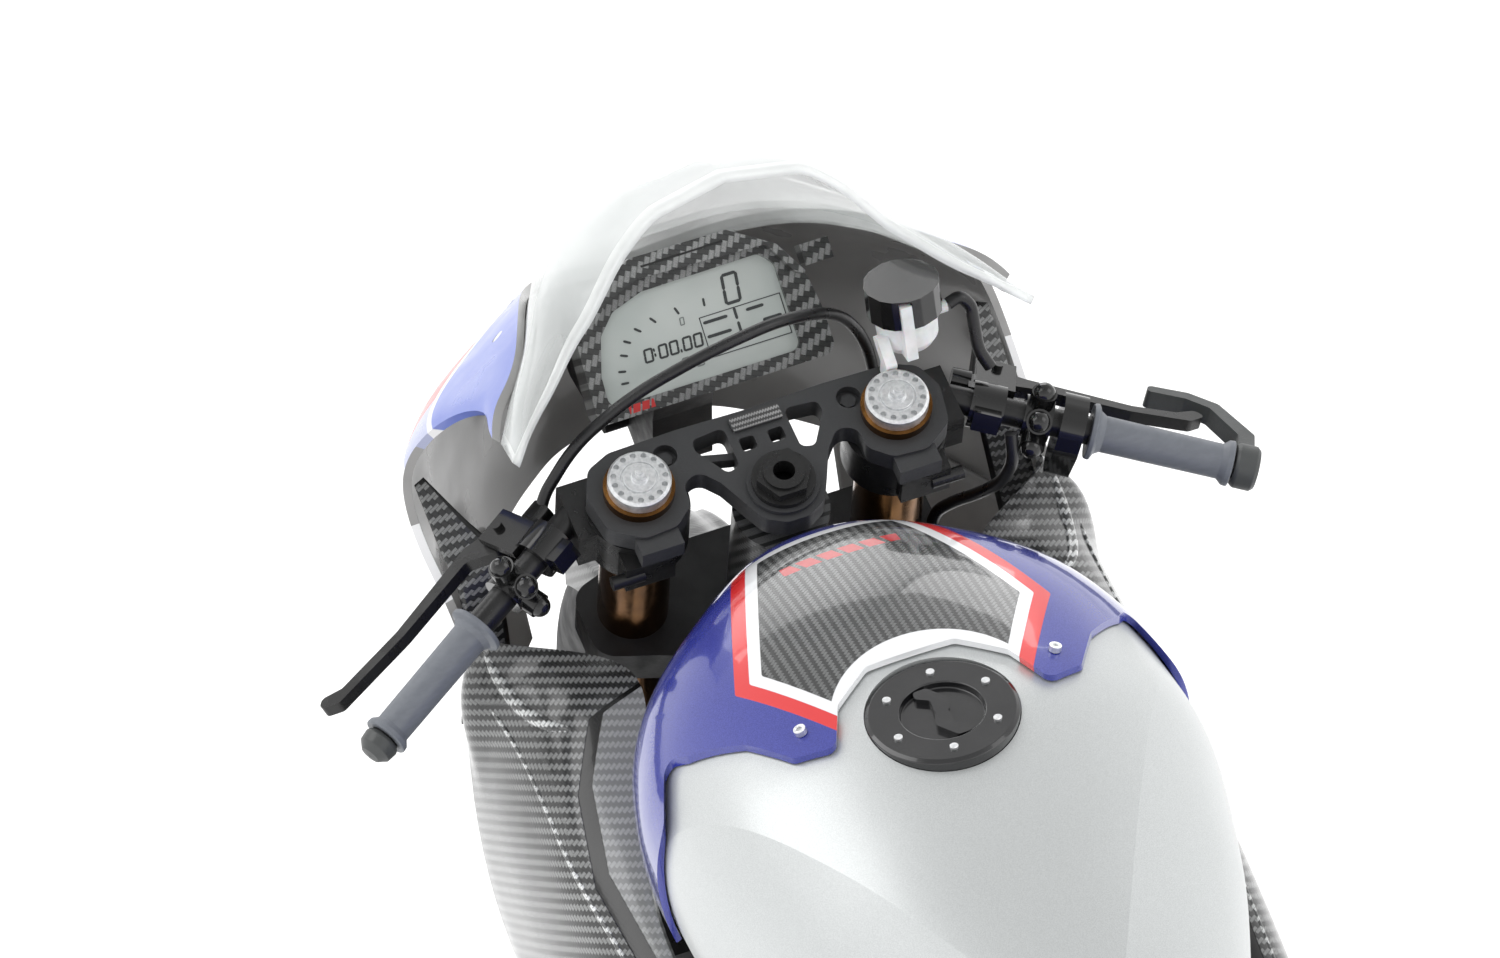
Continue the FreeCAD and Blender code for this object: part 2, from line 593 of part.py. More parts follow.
def build_controls():
    """Perches, levers, switch clusters, the throttle housing and the fluid reservoir."""
    pin_rad = D["pivot_pin_dia"] / 2
    pin_down = CONTROL.multiply(Placement(Vector(LEVER_PIN.x, -3.4, LEVER_PIN.z), TURN["y"]))
    hole = cylinder(pin_down, pin_rad + D["running_gap"], 7)

    def clamp_ring(start, length):
        return cylinder(at(CONTROL, 0, 0, start), 3.7, length)

    upper_ear = box(CONTROL, (2.0, 1.25, 5.0), (10.2, 2.6, 11.2))
    lower_ear = box(CONTROL, (2.0, -2.6, 5.0), (10.2, -1.25, 11.2))
    piston = cylinder(at(CONTROL, 5.6, 0.2, 1.4), 2.0, 3.0)
    piston_web = box(CONTROL, (2.2, -1.6, 4.0), (6.4, 1.6, 5.2))
    bar_clear = cylinder(at(CONTROL, 0, 0, -4), D["bar_dia"] / 2, 40)
    pin = cylinder(pin_down, pin_rad, 6.8)
    back_lug = box(CONTROL, (-5.4, -1.6, 5.2), (-2.6, 1.6, 9.4))
    perch = cut(fuse(clamp_ring(4.6, 5.2), upper_ear, lower_ear, piston, piston_web, pin, back_lug),
                bar_clear)
    node("brake_lever", cut(lever(40.0, 9.2), hole))
    node("clutch_lever", mirrored(cut(lever(45.0, 12.4), hole)))

    # Switch clusters: three round domes in a row across the bar, facing the rider.
    ring = cylinder(at(BAR, 0, 0, 13.0), 3.4, 4.4)
    housings = []
    for angle in (72, 126, 180):
        x = 4.5 * math.cos(math.radians(angle))
        y = 4.5 * math.sin(math.radians(angle))
        pod = BAR.multiply(Placement(Vector(x, y, 15.2), Rotation(Vector(0, 0, 1), angle)))
        housings.append(cylinder(pod.multiply(Placement(Vector(-2.0, 0, 0), TURN["x"])), 2.0, 2.9))
        housings.append(sphere(pod.multiply(Placement(Vector(0.8, 0, 0), Rotation())), 1.7))
    bar_hole = cylinder(at(BAR, 0, 0, 10), D["bar_dia"] / 2, 12)
    cluster = pair(cut(fuse(ring, *housings), bar_hole))

    housing_outline = [(-4.6, -8.5), (-5.4, 0), (-3.6, 4.4), (0, 5.3), (3.6, 4.2), (4.9, 0), (3.6, -4.5),
                       (0, -9.5)]
    housing = plate(at(BAR, 0, 0, 18.6), [rounded(housing_outline, 3.0),
                                          circle(0, 0, float(D["bar_dia"]) / 2)], 3.8)
    node("handlebar_controls", group(pair(perch), cluster, housing))

    # The reservoir stands upright beside the right fork cap on a moulded bracket.
    stand = Placement(Vector(27.0, 98.8, 189.2), Rotation())
    bowl = lathe(stand, [(0, 0), (3.6, 0), (4.7, 1.6), (4.9, 6.0), (0, 6.0)], 0.8)
    spout = cylinder(at(stand, 3.5, 1.0, 3.6, "x"), 1.0, 3.4)
    tab = box(stand, (-2.4, -5.9, 0.6), (-0.6, -4.0, 10.4))
    strap = box(stand, (-2.4, -4.6, 0.6), (-0.6, 0, 2.2))
    bracket = plate(Placement(Vector(21.2, 0, 0), SIDE_TURN), [rounded(
        [(98.5, 192.6), (96.2, 193.2), (93.2, 189.6), (95.4, 186.0), (97.0, 186.8), (96.0, 189.2)], 0.5)],
        1.8)
    node("fluid_reservoir", fuse(bowl, spout, tab, strap, bracket))
    lid_points = []
    for k in range(8):
        lid_points += [(5.9 * math.cos(math.radians(45 * k + 22.5 + turn)),
                        5.9 * math.sin(math.radians(45 * k + 22.5 + turn))) for turn in (-13, 13)]
    notch = box(stand, (-2.5, -6.6, 5.5), (-0.5, -3.9, 11))
    lid = plate(at(stand, 0, 0, 6.05), [rounded(lid_points, 0.6)], 5.2)
    node("reservoir_cap", cut(lid, notch))


def hose(points, diameter):
    """A hose along straight runs joined by tangent arcs, each arc as large as its runs allow."""
    points = [Vector(*p) for p in points]
    radius = float(diameter) / 2
    edges = []
    tightest = 1e9
    here = points[0]
    for before, corner, after in zip(points, points[1:], points[2:]):
        back = before - corner
        ahead = after - corner
        half = back.getAngle(ahead) / 2
        reach = 0.45 * min(back.Length, ahead.Length)
        bend = reach * math.tan(half)
        tightest = min(tightest, bend)
        start = corner + back.normalize() * reach
        end = corner + ahead.normalize() * reach
        middle = corner + (back + ahead).normalize() * (bend / math.sin(half) - bend)
        edges.append(Part.LineSegment(here, start).toShape())
        edges.append(Part.Arc(start, middle, end).toShape())
        here = end
    edges.append(Part.LineSegment(here, points[-1]).toShape())
    path = Part.Wire(edges)
    direction = points[1] - points[0]
    ring = Part.Wire([Part.Circle(points[0], direction, radius).toShape()])
    tube = path.makePipeShell([ring], True, False)
    expected = math.pi * radius ** 2 * path.Length
    print(f"hose: length {path.Length:.1f}, tightest bend {tightest:.1f}, "
          f"volume ratio {tube.Volume / expected:.3f}")
    return tube


CLUTCH_CABLE_ROUTE = [
    (-34.9, 99.5, 177.4), (-33.0, 101.4, 180.4), (-27.0, 101.6, 187.5), (-17.0, 101.0, 193.6),
    (-4.0, 101.0, 197.0),
    (9.0, 103.5, 197.0), (19.0, 108.0, 192.0), (24.0, 111.5, 183.0), (25.0, 112.4, 172.0),
    (24.4, 111.6, 163.0),
    (23.6, 109.9, 154.9),
]
RESERVOIR_HOSE_ROUTE = [
    (34.2, 99.8, 192.9), (36.2, 100.0, 193.6), (37.8, 99.6, 191.6), (37.6, 98.6, 188.0), (37.4, 97.6, 184.6),
    (38.6, 96.4, 181.6),
]
BRAKE_HOSE_ROUTE = [
    (37.6, 87.2, 175.2), (37.2, 86.4, 170.6), (35.6, 88.6, 165.8), (33.2, 92.6, 162.0), (30.6, 97.4, 158.4),
    (28.6, 101.0, 155.0), (28.0, 102.6, 152.0),
]


def build_hoses():
    cable = feature(hose(CLUTCH_CABLE_ROUTE, D["cable_dia"]))
    node("cable_and_hoses", group(cable, feature(hose(RESERVOIR_HOSE_ROUTE, D["hose_dia"])),
                                  feature(hose(BRAKE_HOSE_ROUTE, D["hose_dia"]))))


# ---------------------------------------------------------------- chassis

def world_box(x, y, z):
    """A block from ranges of world X, Y and Z."""
    return box(WORLD, (x[0], y[0], z[0]), (x[1], y[1], z[1]))


def side_plate(x, outline, thickness, radius=3.0, holes=()):
    """A plate standing in a YZ plane, starting at x and growing outward."""
    return plate(Placement(Vector(x, 0, 0), SIDE_TURN), [rounded(outline, radius), *holes], thickness)


def build_frame():
    head = cylinder(at(STEER, 0, 0, 166), 7.5, 26)
    neck = plate(at(STEER, 0, 0, 166.5), [rounded([(-6.5, -4), (6.5, -4), (6, -10.6), (-6, -10.6)], 1.5)],
                 18.0)
    gusset_outline = [(-7.5, -3), (7.5, -3), (9, -8), (20, -14), (20, -18.4), (-20, -18.4), (-20, -14),
                      (-9, -8)]
    gusset = fuse(neck, plate(at(STEER, 0, 0, 166.5), [rounded(gusset_outline, 1.5)], 4.0),
                  world_box((-21, 21), (80.2, 85.0), (134, 147.5)))
    spar = side_plate(17, [(83, 140), (66, 140), (54, 149.5), (28, 141), (-12, 118), (-37, 98), (-41, 62),
                           (-24, 52), (-12, 66),
                           (-6, 92), (30, 117), (62, 132)], D["spar_thickness"], 4)
    cross = [cylinder(Placement(Vector(-19, y, z), TURN["x"]), r, 38)
             for y, z, r in ((-30, 102, 3.0), (-28, 60, 3.0), (20, 126, 2.5))]
    head_bore = cylinder(at(STEER, 0, 0, 160), 3.6 + float(D["running_gap"]), 36)
    pivot_shaft = cylinder(Placement(Vector(-33, SWING_PIVOT.y, SWING_PIVOT.z), TURN["x"]), 2.5, 66)
    pivot_caps = [cylinder(Placement(Vector(x, SWING_PIVOT.y, SWING_PIVOT.z), TURN["x"]), 4.0,
                           1.6) for x in (-33, 31.4)]
    hanger_ears = [world_box((x, x + 1.6), (-50, -29), (112.6, 119.4)) for x in (-4.2, 2.6)]
    hanger_pin = cylinder(at(WORLD, -4.3, -47, 116, "x"), 1.5, 8.6)
    hanger_top = world_box((-4.2, 4.2), (-33, -28), (102.0, 119.4))
    tray = fuse(
        world_box((-17.1, 17.1), (-12, 18), (85.0, 86.6)), world_box((-15, -13.4), (-6, 18), (86, 96)),
        world_box((13.4, 15), (-6, 18), (86, 96)), world_box((-15, 15), (-6, -4.6), (86, 96)),
    )
    node("main_frame", cut(fuse(head, gusset, spar, mirrored(spar), *cross, *hanger_ears, hanger_pin,
                                hanger_top, tray,
                                pivot_shaft, *pivot_caps), head_bore))
    rail = side_plate(9, [(-24, 98), (-26, 110), (-34, 123), (-60, 150), (-150, 169), (-152, 164), (-90, 148),
                          (-46, 115), (-37, 104), (-34, 97)], 3.0, 1.5, [circle(-30, 102, 3.05)])
    rear_bars = [cylinder(Placement(Vector(-12, y, z), TURN["x"]), 2.0, 24) for y, z in ((-100, 155), (-142,
            164))]
    node("subframe", fuse(rail, mirrored(rail), *rear_bars))


def build_drive():
    """Power unit: crankcase block, the motor in it, the electronics, and the steering servo."""
    case = fuse(
        side_plate(-16.9, [(46, 48), (50, 66), (30, 84), (4, 84), (-10, 70), (-12, 52), (0, 43), (36, 42)],
                   33.8, 4),
        side_plate(-19.5, [(44, 78), (62, 100), (48, 114), (24, 108), (18, 84)], 39.0, 3),
        side_plate(-23.0, [(40, 50), (42, 62), (28, 70), (14, 64), (14, 50), (26, 44)], 46.0, 5),
        cylinder(Placement(Vector(-24.2, 28, 56), TURN["x"]), 7.0, 48.4),
    )
    motor_bore = cylinder(Placement(Vector(-14, 4, 62), TURN["x"]), 9.0, 40)
    node("crankcase", cut(case, motor_bore))
    can = cylinder(Placement(Vector(-13.9, 4, 62), TURN["x"]), 8.95, 30)
    nose = cylinder(Placement(Vector(16.1, 4, 62), TURN["x"]), 4.0, 3.0)
    node("drive_motor", fuse(can, nose))
    node("battery_pack", world_box((-13.3, 13.3), (-4.5, 17.5), (86.7, 112)))
    controller = fuse(
        world_box((-8.6, 8.6), (-52, -34), (119.5, 127.5)),
        *[world_box((3 * k - 8.1, 3 * k - 6.9), (-51, -35), (127.4, 131.5)) for k in range(6)],
    )
    receiver = world_box((-8.9, 8.9), (-84, -62), (151, 159))
    node("electronics", group(controller, receiver))
    servo = fuse(
        box(STEER, (-12, -SERVO_BACK - 9, 125), (9, -SERVO_BACK + 6, 144)),
        box(STEER, (-16.8, -SERVO_BACK - 9, 138), (16.8, -SERVO_BACK + 6, 140)),
        cylinder(at(STEER, 0, -SERVO_BACK, 143.9), 1.8, 4.4),
    )
    node("steering_servo", servo)
    horn_bore = 1.8 + float(D["running_gap"])
    horn = plate(at(STEER, 0, -SERVO_BACK, 145.0), [rounded([(-4, -4), (LINK_ARM, -2.4), (LINK_ARM + 2.4, 0),
                 (LINK_ARM, 2.4), (-4, 4)], 2.2), circle(0, 0, horn_bore)], 2.0)
    horn_pin = cylinder(at(STEER, LINK_ARM, -SERVO_BACK, 146.9), 1.2, 4.6)
    node("servo_horn", fuse(horn, horn_pin))
    eye = 1.2 + float(D["running_gap"])
    link = plate(at(STEER, LINK_ARM, 0, 148.6), [rounded([(-2.4, 2.4), (2.4, 2.4), (2.4, -3), (1.4, -5),
                                                          (1.4, 5 - SERVO_BACK),
                 (2.4, 3 - SERVO_BACK), (2.4, -SERVO_BACK - 2.4), (-2.4, -SERVO_BACK - 2.4),
                 (-2.4, 3 - SERVO_BACK),
                 (-1.4, 5 - SERVO_BACK), (-1.4, -5), (-2.4, -3)], 0.9), circle(0, 0, eye),
                 circle(0, -SERVO_BACK, eye)], 1.8)
    node("steering_link", link)

    core = side_plate(-24, [(62, 54), (67.4, 54), (67.4, 90), (62, 90)], 48, 0.5)
    tanks = [side_plate(x, [(61.6, 52), (68, 52), (68, 91), (61.6, 91)], 4, 1.5) for x in (-28, 24)]
    middle = world_box((-24, 24), (64.0, 65.4), (54, 90))
    gaps = [world_box((-23, 23), (60, 70), (56 + 3 * k, 57.8 + 3 * k)) for k in range(11)]
    node("radiator", fuse(cut(core, cut(fuse(*gaps), middle)), *tanks))


# ---------------------------------------------------------------- rear end

def build_rear():
    bearing = float(D["axle_dia"]) / 2 + float(D["running_gap"])
    tyre, rim = wheel(REAR_AXLE, D["rear_wheel_rad"], D["rear_tyre_width"], 36.0, 20.0, bearing)
    node("rear_tyre", tyre)
    node("rear_rim", rim)
    rear_disc = disc(REAR_AXLE, 20.5, 21.0, 6.2, 20)
    node("rear_brake_disc", rear_disc)
    thick = float(D["sprocket_thickness"])
    node("rear_sprocket", sprocket(REAR_AXLE, 17.0, 6.0, 30, (5, 11.5)))
    bush = cut(sprocket(SWING_PIVOT, 7.0, 2.5 + float(D["running_gap"]), 13, ()),
               cylinder(Placement(Vector(-30, SWING_PIVOT.y, SWING_PIVOT.z), TURN["x"]), 2.55, 12))
    node("front_sprocket", bush)

    arm = side_plate(27, [(-15, 80), (-19, 87), (-30, 88), (-70, 83), (-132, 73), (-150, 72), (-152, 60),
                          (-130, 58),
                          (-70, 66), (-28, 71), (-18, 73)], 4.0, 4,
                     [rounded([(-62, 80), (-116, 72), (-116, 64), (-66, 70)], 3), circle(-141, 66, 2.5),
                      circle(-25, 80, 2.55)])
    boss = cut(cylinder(Placement(Vector(21.1, SWING_PIVOT.y, SWING_PIVOT.z), TURN["x"]), 5.0, 6.0),
               cylinder(Placement(Vector(20, SWING_PIVOT.y, SWING_PIVOT.z), TURN["x"]), 2.55, 8))
    brace = side_plate(-27.1, [(-56, 83), (-62, 82), (-66, 72), (-60, 70), (-54, 74)], 54.2, 2)
    lug = side_plate(-4.5, [(-58, 82), (-58, 73), (-47, 68.5), (-43.5, 71), (-43.5, 77), (-47, 80)], 9.0, 1.5)
    lug_gap = side_plate(-2.6, [(-54, 90), (-54, 64), (-38, 64), (-38, 90)], 5.2, 0.5)
    lug_pin = cylinder(Placement(Vector(-4.4, -47, 74.5), TURN["x"]), 1.5, 8.8)
    lug_piece = fuse(cut(lug, lug_gap), lug_pin)
    spool = lathe(Placement(Vector(30.9, -128, 62), TURN["x"]), [(0, 0), (2.4, 0), (2.4, 3.6), (3.6, 4.2),
            (3.6, 5.2),
                  (0, 5.2)], 0.3)
    arms = fuse(arm, mirrored(arm), boss, brace, lug_piece, spool, mirrored(spool))

    axle = fuse(cylinder(Placement(Vector(-33.5, REAR_AXLE.y, REAR_AXLE.z), TURN["x"]), 2.5, 67),
                cylinder(Placement(Vector(31.2, REAR_AXLE.y, REAR_AXLE.z), TURN["x"]), 4.2, 2.4),
                cylinder(Placement(Vector(-33.6, REAR_AXLE.y, REAR_AXLE.z), TURN["x"]), 4.2, 2.4),
                cylinder(Placement(Vector(21.3, REAR_AXLE.y, REAR_AXLE.z), TURN["x"]), 3.8, 5.6),
                cylinder(Placement(Vector(-26.9, REAR_AXLE.y, REAR_AXLE.z), TURN["x"]), 3.8, 2.6))
    node("rear_axle", axle)
    caliper = cut(world_box((17.2, 26.9), (-122, -112), (52, 62)), world_box((19.7, 21.3), (-126, -111),
            (50, 62.5)),
                  cylinder(Placement(Vector(10, REAR_AXLE.y, REAR_AXLE.z), TURN["x"]), 21.4, 9.9))
    bridge = world_box((19.0, 22.0), (-113.6, -112), (52, 62))
    node("swingarm", fuse(arms, caliper, bridge))

    inner = chain_loop(7.1, 17.1)
    outer = chain_loop(8.9, 18.9)
    width = float(D["chain_width"])
    chain = plate(Placement(Vector(-25.1, 0, 0), SIDE_TURN), [outer, inner], D["chain_width"])
    groove_place = Placement(Vector(-25.1 + width / 2 - thick / 2, 0, 0), SIDE_TURN)
    node("chain", cut(chain, plate(groove_place, [chain_loop(9.5, 19.5), chain_loop(8.4, 18.4)], thick)))

    # Shock absorber: body hung from the frame, rod on the swingarm, coil between them.
    eye_top = cut(cylinder(at(WORLD, -2.4, -47, 116, "x"), 3.4, 4.8), cylinder(at(WORLD, -3, -47, 116, "x"),
            1.55, 6))
    barrel = cylinder(at(WORLD, 0, -47, 95), 3.6, 17.2)
    neck = cylinder(at(WORLD, 0, -47, 110), 2.3, 5.4)
    perch = cylinder(at(WORLD, 0, -47, 108), 6.6, 2.0)
    rod_bore = cylinder(at(WORLD, 0, -47, 92), 1.3, 19)
    eye_clear = cylinder(at(WORLD, -3, -47, 116, "x"), 1.55, 6)
    bottle = cylinder(at(WORLD, 0, -56.6, 101), 3.0, 14)
    bridge = world_box((-1.5, 1.5), (-55, -48), (108.1, 111.6))
    node("shock_body", cut(fuse(eye_top, barrel, neck, perch, bottle, bridge), rod_bore, eye_clear))
    rod = cylinder(at(WORLD, 0, -47, 77.0), 1.25, 25)
    eye_low = cylinder(at(WORLD, -2.4, -47, 74.5, "x"), 3.2, 4.8)
    seat = cylinder(at(WORLD, 0, -47, 82.6), 6.2, 1.6)
    stalk = cylinder(at(WORLD, 0, -47, 76), 2.0, 8)
    eye_hole = cylinder(at(WORLD, -3, -47, 74.5, "x"), 1.58, 6)
    node("shock_rod", cut(fuse(rod, eye_low, seat, stalk), eye_hole))
    coil = doc.addObject("Part::Helix", "coil_path")
    coil.Pitch = 4.0
    coil.Height = 22.0
    coil.Radius = 5.2
    coil.Placement = Placement(Vector(0, -47, 85.1), Rotation())
    wire = doc.addObject("Part::Circle", "coil_wire")
    wire.Radius = 0.8
    wire.Placement = Placement(Vector(5.2, -47, 85.1), Rotation(Vector(1, 0, 0), 90))
    sweep = doc.addObject("Part::Sweep", "coil")
    sweep.Sections = [wire]
    sweep.Spine = (coil, ["Edge1"])
    sweep.Solid = True
    sweep.Frenet = True
    node("shock_spring", sweep)


def sprocket(axle, tooth_rad, bore_rad, teeth, windows):
    """A toothed disc in the chain's plane, on the left of the machine."""
    thick = float(D["sprocket_thickness"])
    width = float(D["chain_width"])
    points = []
    for k in range(teeth):
        angle = 2 * math.pi * k / teeth
        step = 2 * math.pi / teeth
        for part, radius in ((-0.3, tooth_rad - 1.3), (-0.12, tooth_rad), (0.12, tooth_rad),
                             (0.3, tooth_rad - 1.3)):
            points.append((radius * math.cos(angle + part * step), radius * math.sin(angle + part * step)))
    holes = []
    if windows:
        count, ring = windows
        for k in range(count):
            angle = 2 * math.pi * k / count
            holes.append(circle(ring * math.cos(angle), ring * math.sin(angle), 2.2))
    place = Placement(Vector(-25.1 + width / 2 - thick / 2, axle.y, axle.z), SIDE_TURN)
    disc_piece = plate(place, [rounded(points, 0.25), circle(0, 0, bore_rad), *holes], thick)
    if windows:
        hub = cut(cylinder(Placement(Vector(-24.2, axle.y, axle.z), TURN["x"]), 8.0, 4.15),
                  cylinder(Placement(Vector(-26, axle.y, axle.z), TURN["x"]), bore_rad, 8))
    else:
        hub = cut(cylinder(Placement(Vector(-26.4, axle.y, axle.z), TURN["x"]), 4.4, 5.2),
                  cylinder(Placement(Vector(-28, axle.y, axle.z), TURN["x"]), bore_rad, 8))
    return fuse(disc_piece, hub)


def chain_loop(front_rad, rear_rad):
    """The closed path round both sprockets: two arcs and the straight runs tangent to them."""
    front = Vector(SWING_PIVOT.y, SWING_PIVOT.z, 0)
    rear = Vector(REAR_AXLE.y, REAR_AXLE.z, 0)
    line = rear - front
    heading = math.atan2(line.y, line.x)
    lean = math.acos((front_rad - rear_rad) / line.Length)
    tangents = []
    for sign in (1, -1):
        angle = heading + sign * lean
        unit = Vector(math.cos(angle), math.sin(angle), 0)
        tangents.append((front + unit * front_rad, rear + unit * rear_rad))
    away = line * (1 / line.Length)
    (front_a, rear_a), (front_b, rear_b) = tangents
    return [
        Part.LineSegment(front_a, rear_a),
        Part.Arc(rear_a, rear + away * rear_rad, rear_b),
        Part.LineSegment(rear_b, front_b),
        Part.Arc(front_b, front - away * front_rad, front_a),
    ]


# ---------------------------------------------------------------- bodywork

TANK_TOP = [(-54, 160), (-30, 166), (0, 178), (20, 183.2), (45, 184.6), (62, 183), (70, 180.6), (76, 175),
            (79, 168)]
TANK_HALF = [(-54, 17), (-30, 26), (0, 37), (25, 41.8), (38, 41.3), (45, 40.2), (56, 36.6), (66, 27),
             (74, 18), (79, 10)]
TANK_WIDEST_Z = [(-54, 149), (-30, 150), (0, 153), (30, 155), (60, 156), (79, 156)]
TANK_LOW = [(-54, 141), (-30, 139), (0, 136), (40, 136), (79, 144)]
TANK_SQUARENESS = 2.3


def tank_point(y, angle, lift):
    """A point on the tank at a station y: angle 0 is the widest right side, 90 the top, 180 the left."""
    half = spline(TANK_HALF, y) + lift
    top = spline(TANK_TOP, y) + lift
    widest = spline(TANK_WIDEST_Z, y)
    low = spline(TANK_LOW, y)
    if angle < 0 or angle > 180:
        side = 1 if angle < 0 else -1
        depth = (-angle if angle < 0 else angle - 180) / 40
        return Vector(side * (half - 5.5 * depth ** 2), y, widest - (widest - low) * depth)
    turn = math.radians(angle)
    power = 2 / TANK_SQUARENESS
    x = half * math.copysign(abs(math.cos(turn)) ** power, math.cos(turn))
    return Vector(x, y, widest + (top - widest) * math.sin(turn) ** power)


TANK_ANGLES = (-40, -20, 0, 10, 22, 36, 52, 70, 90, 110, 128, 144, 158, 170, 180, 200, 220)


def tank_rows(lift, first, last, count, angles=TANK_ANGLES):
    rows = []
    for k in range(count):
        y = first + (last - first) * k / (count - 1)
        rows.append([tank_point(y, angle, lift) for angle in angles])
    return rows


CAP_PLACE = Placement(Vector(0, 18.2, 181.6), Rotation(Vector(1, 0, 0), 4))
COVER_OUTLINE = [
    (13.5, 25.5), (16.9, 17.8), (22.8, 20.2), (27.5, 28.5), (34.5, 35.8), (37.0, 40.0), (41.3, 30.8),
    (46, 36), (46, 60),
    (20, 90), (-20, 90), (-46, 60), (-46, 36), (-41.3, 30.8), (-37.0, 40.0), (-34.5, 35.8), (-27.5, 28.5),
    (-22.8, 20.2),
    (-16.9, 17.8), (-13.5, 25.5), (-7, 30.6), (7, 30.6),
]


def build_tank():
    shell = feature(solid_between(surface_through(tank_rows(0.0, -54, 78, 23)),
                                  surface_through(tank_rows(-float(D["panel_thickness"]), -54, 78, 23))))
    mouth = cylinder(at(CAP_PLACE, 0, 0, -20), 11.6, 30)
    screw_frames = [Placement(Vector(side * 20.2, 23.8, 182.9), Rotation(Vector(0, 1, 0),
            side * 17)) for side in (-1, 1)]
    bores = [cylinder(at(tilt, 0, 0, -8), 0.56, 12) for tilt in screw_frames]
    head_seats = [cylinder(at(tilt, 0, 0, -0.45), D["screw_head_dia"] / 2 + 0.05, 4) for tilt in screw_frames]
    node("fuel_tank_cover", cut(shell, mouth, *bores))
    upper = TANK_ANGLES[1:-1]
    skin = feature(solid_between(surface_through(tank_rows(1.3, 12, 78, 12, upper)),
                                 surface_through(tank_rows(0.3, 12, 78, 12, upper))))
    margin = [(70, -10), (70, 110), (-70, 110), (-70, -10)]
    around = plate(at(WORLD, 0, 0, 120), [rounded(margin, 1), rounded(COVER_OUTLINE, 1.6)], 90)
    cover = cut(skin, around)
    node("tank_front_cover", cut(cover, *bores, *head_seats))
    heads = []
    for tilt in screw_frames:
        heads.append(fuse(cylinder(at(tilt, 0, 0, -3.5), 0.5, 3.2),
                          cut(cylinder(at(tilt, 0, 0, -0.4), D["screw_head_dia"] / 2, 0.9),
                              primitive("Prism", at(tilt, 0, 0, 0.2), Circumradius=0.5, Height=1,
                                        Polygon=6))))
    body = lathe(CAP_PLACE, [(0, -2.0), (11.5, -2.0), (11.5, 0.9), (10.9, 1.3), (6.4, 1.3), (6.2, 0.2),
                             (0, 0.2)], 0.2)
    handle = []
    for turn in (0, 180):
        part_place = CAP_PLACE.multiply(Placement(Vector(0, 0, 0.1), Rotation(Vector(0, 0, 1), 25 + turn)))
        handle.append(plate(part_place, [rounded([(-1.0, -0.4), (1.2, -0.4), (2.8, 1.4), (2.2, 5.4),
                                                  (0.2, 6.3), (-0.6, 5.0),
                                                  (0.6, 3.0), (-0.6, 1.2)], 0.7)], 1.0))
    node("fuel_cap", fuse(body, *handle))
    bolts = []
    for k in range(6):
        angle = math.radians(60 * k + 20)
        bolts.append(cylinder(at(CAP_PLACE, 8.6 * math.cos(angle), 8.6 * math.sin(angle), 1.3), 0.65, 0.35))
    return heads + bolts


# Half curves against u, which runs from 0 at the centre to 1 at the rear end of each side.
SCREEN_BASE = {
    "x": [(0, 0), (0.25, 10), (0.45, 19), (0.62, 26), (0.78, 31), (0.9, 36), (1, 41)],
    "y": [(0, 164), (0.25, 158), (0.45, 143), (0.62, 123), (0.78, 108), (0.9, 99), (1, 91)],
    "z": [(0, 172.5), (0.25, 177.5), (0.45, 187.5), (0.62, 197.5), (0.78, 202), (0.9, 202.4), (1, 200)],
}
SCREEN_TOP = {
    "x": [(0, 0), (0.25, 11), (0.4, 17.6), (0.6, 26.1), (0.8, 34), (1, 42.2)],
    "y": [(0, 93), (0.25, 91.6), (0.4, 92), (0.6, 92), (0.8, 88), (1, 81)],
    "z": [(0, 233.5), (0.25, 232), (0.4, 226.5), (0.6, 214.8), (0.8, 207.6), (1, 203.2)],
}


def read_curve(curve, u):
    side = -1 if u < 0 else 1
    t = abs(u)
    return Vector(side * spline(curve["x"], t), spline(curve["y"], t), spline(curve["z"], t))


SCREEN_LEAN = Vector(0, 0.5, 0.87)


RIVET_RADIUS = 1.1
RIVET_PLACES = []


def build_screen():
    rows = []
    for i in range(8):
        v = i / 7
        row = []
        for j in range(19):
            u = -1 + 2 * j / 18
            low = read_curve(SCREEN_BASE, u)
            high = read_curve(SCREEN_TOP, u)
            bulge = 9.0 * 4 * v * (1 - v) * (1 - abs(u) ** 2.2)
            row.append(low + (high - low) * (0.03 + 0.97 * v) + SCREEN_LEAN * bulge)
        rows.append(row)
    node("windscreen", feature(panel(rows, D["screen_thickness"], SCREEN_SIDE)))
    heads = []
    for u in (0.5, 0.68):
        edge = read_curve(SCREEN_BASE, u)
        shoulder = read_curve(FAIRING_LINES[1], u)
        ahead = read_curve(SCREEN_BASE, u + 0.02) - read_curve(SCREEN_BASE, u - 0.02)
        outward = ahead.cross(shoulder - edge).normalize()
        if outward.x < 0:
            outward = outward * -1
        spot = edge + (shoulder - edge) * 0.35 + outward * 0.55
        RIVET_PLACES.append(Placement(spot, Rotation(Vector(0, 0, 1), outward)))
        heads.append(cylinder(RIVET_PLACES[-1], RIVET_RADIUS, 1.0))
    return heads + [mirrored(head) for head in heads]


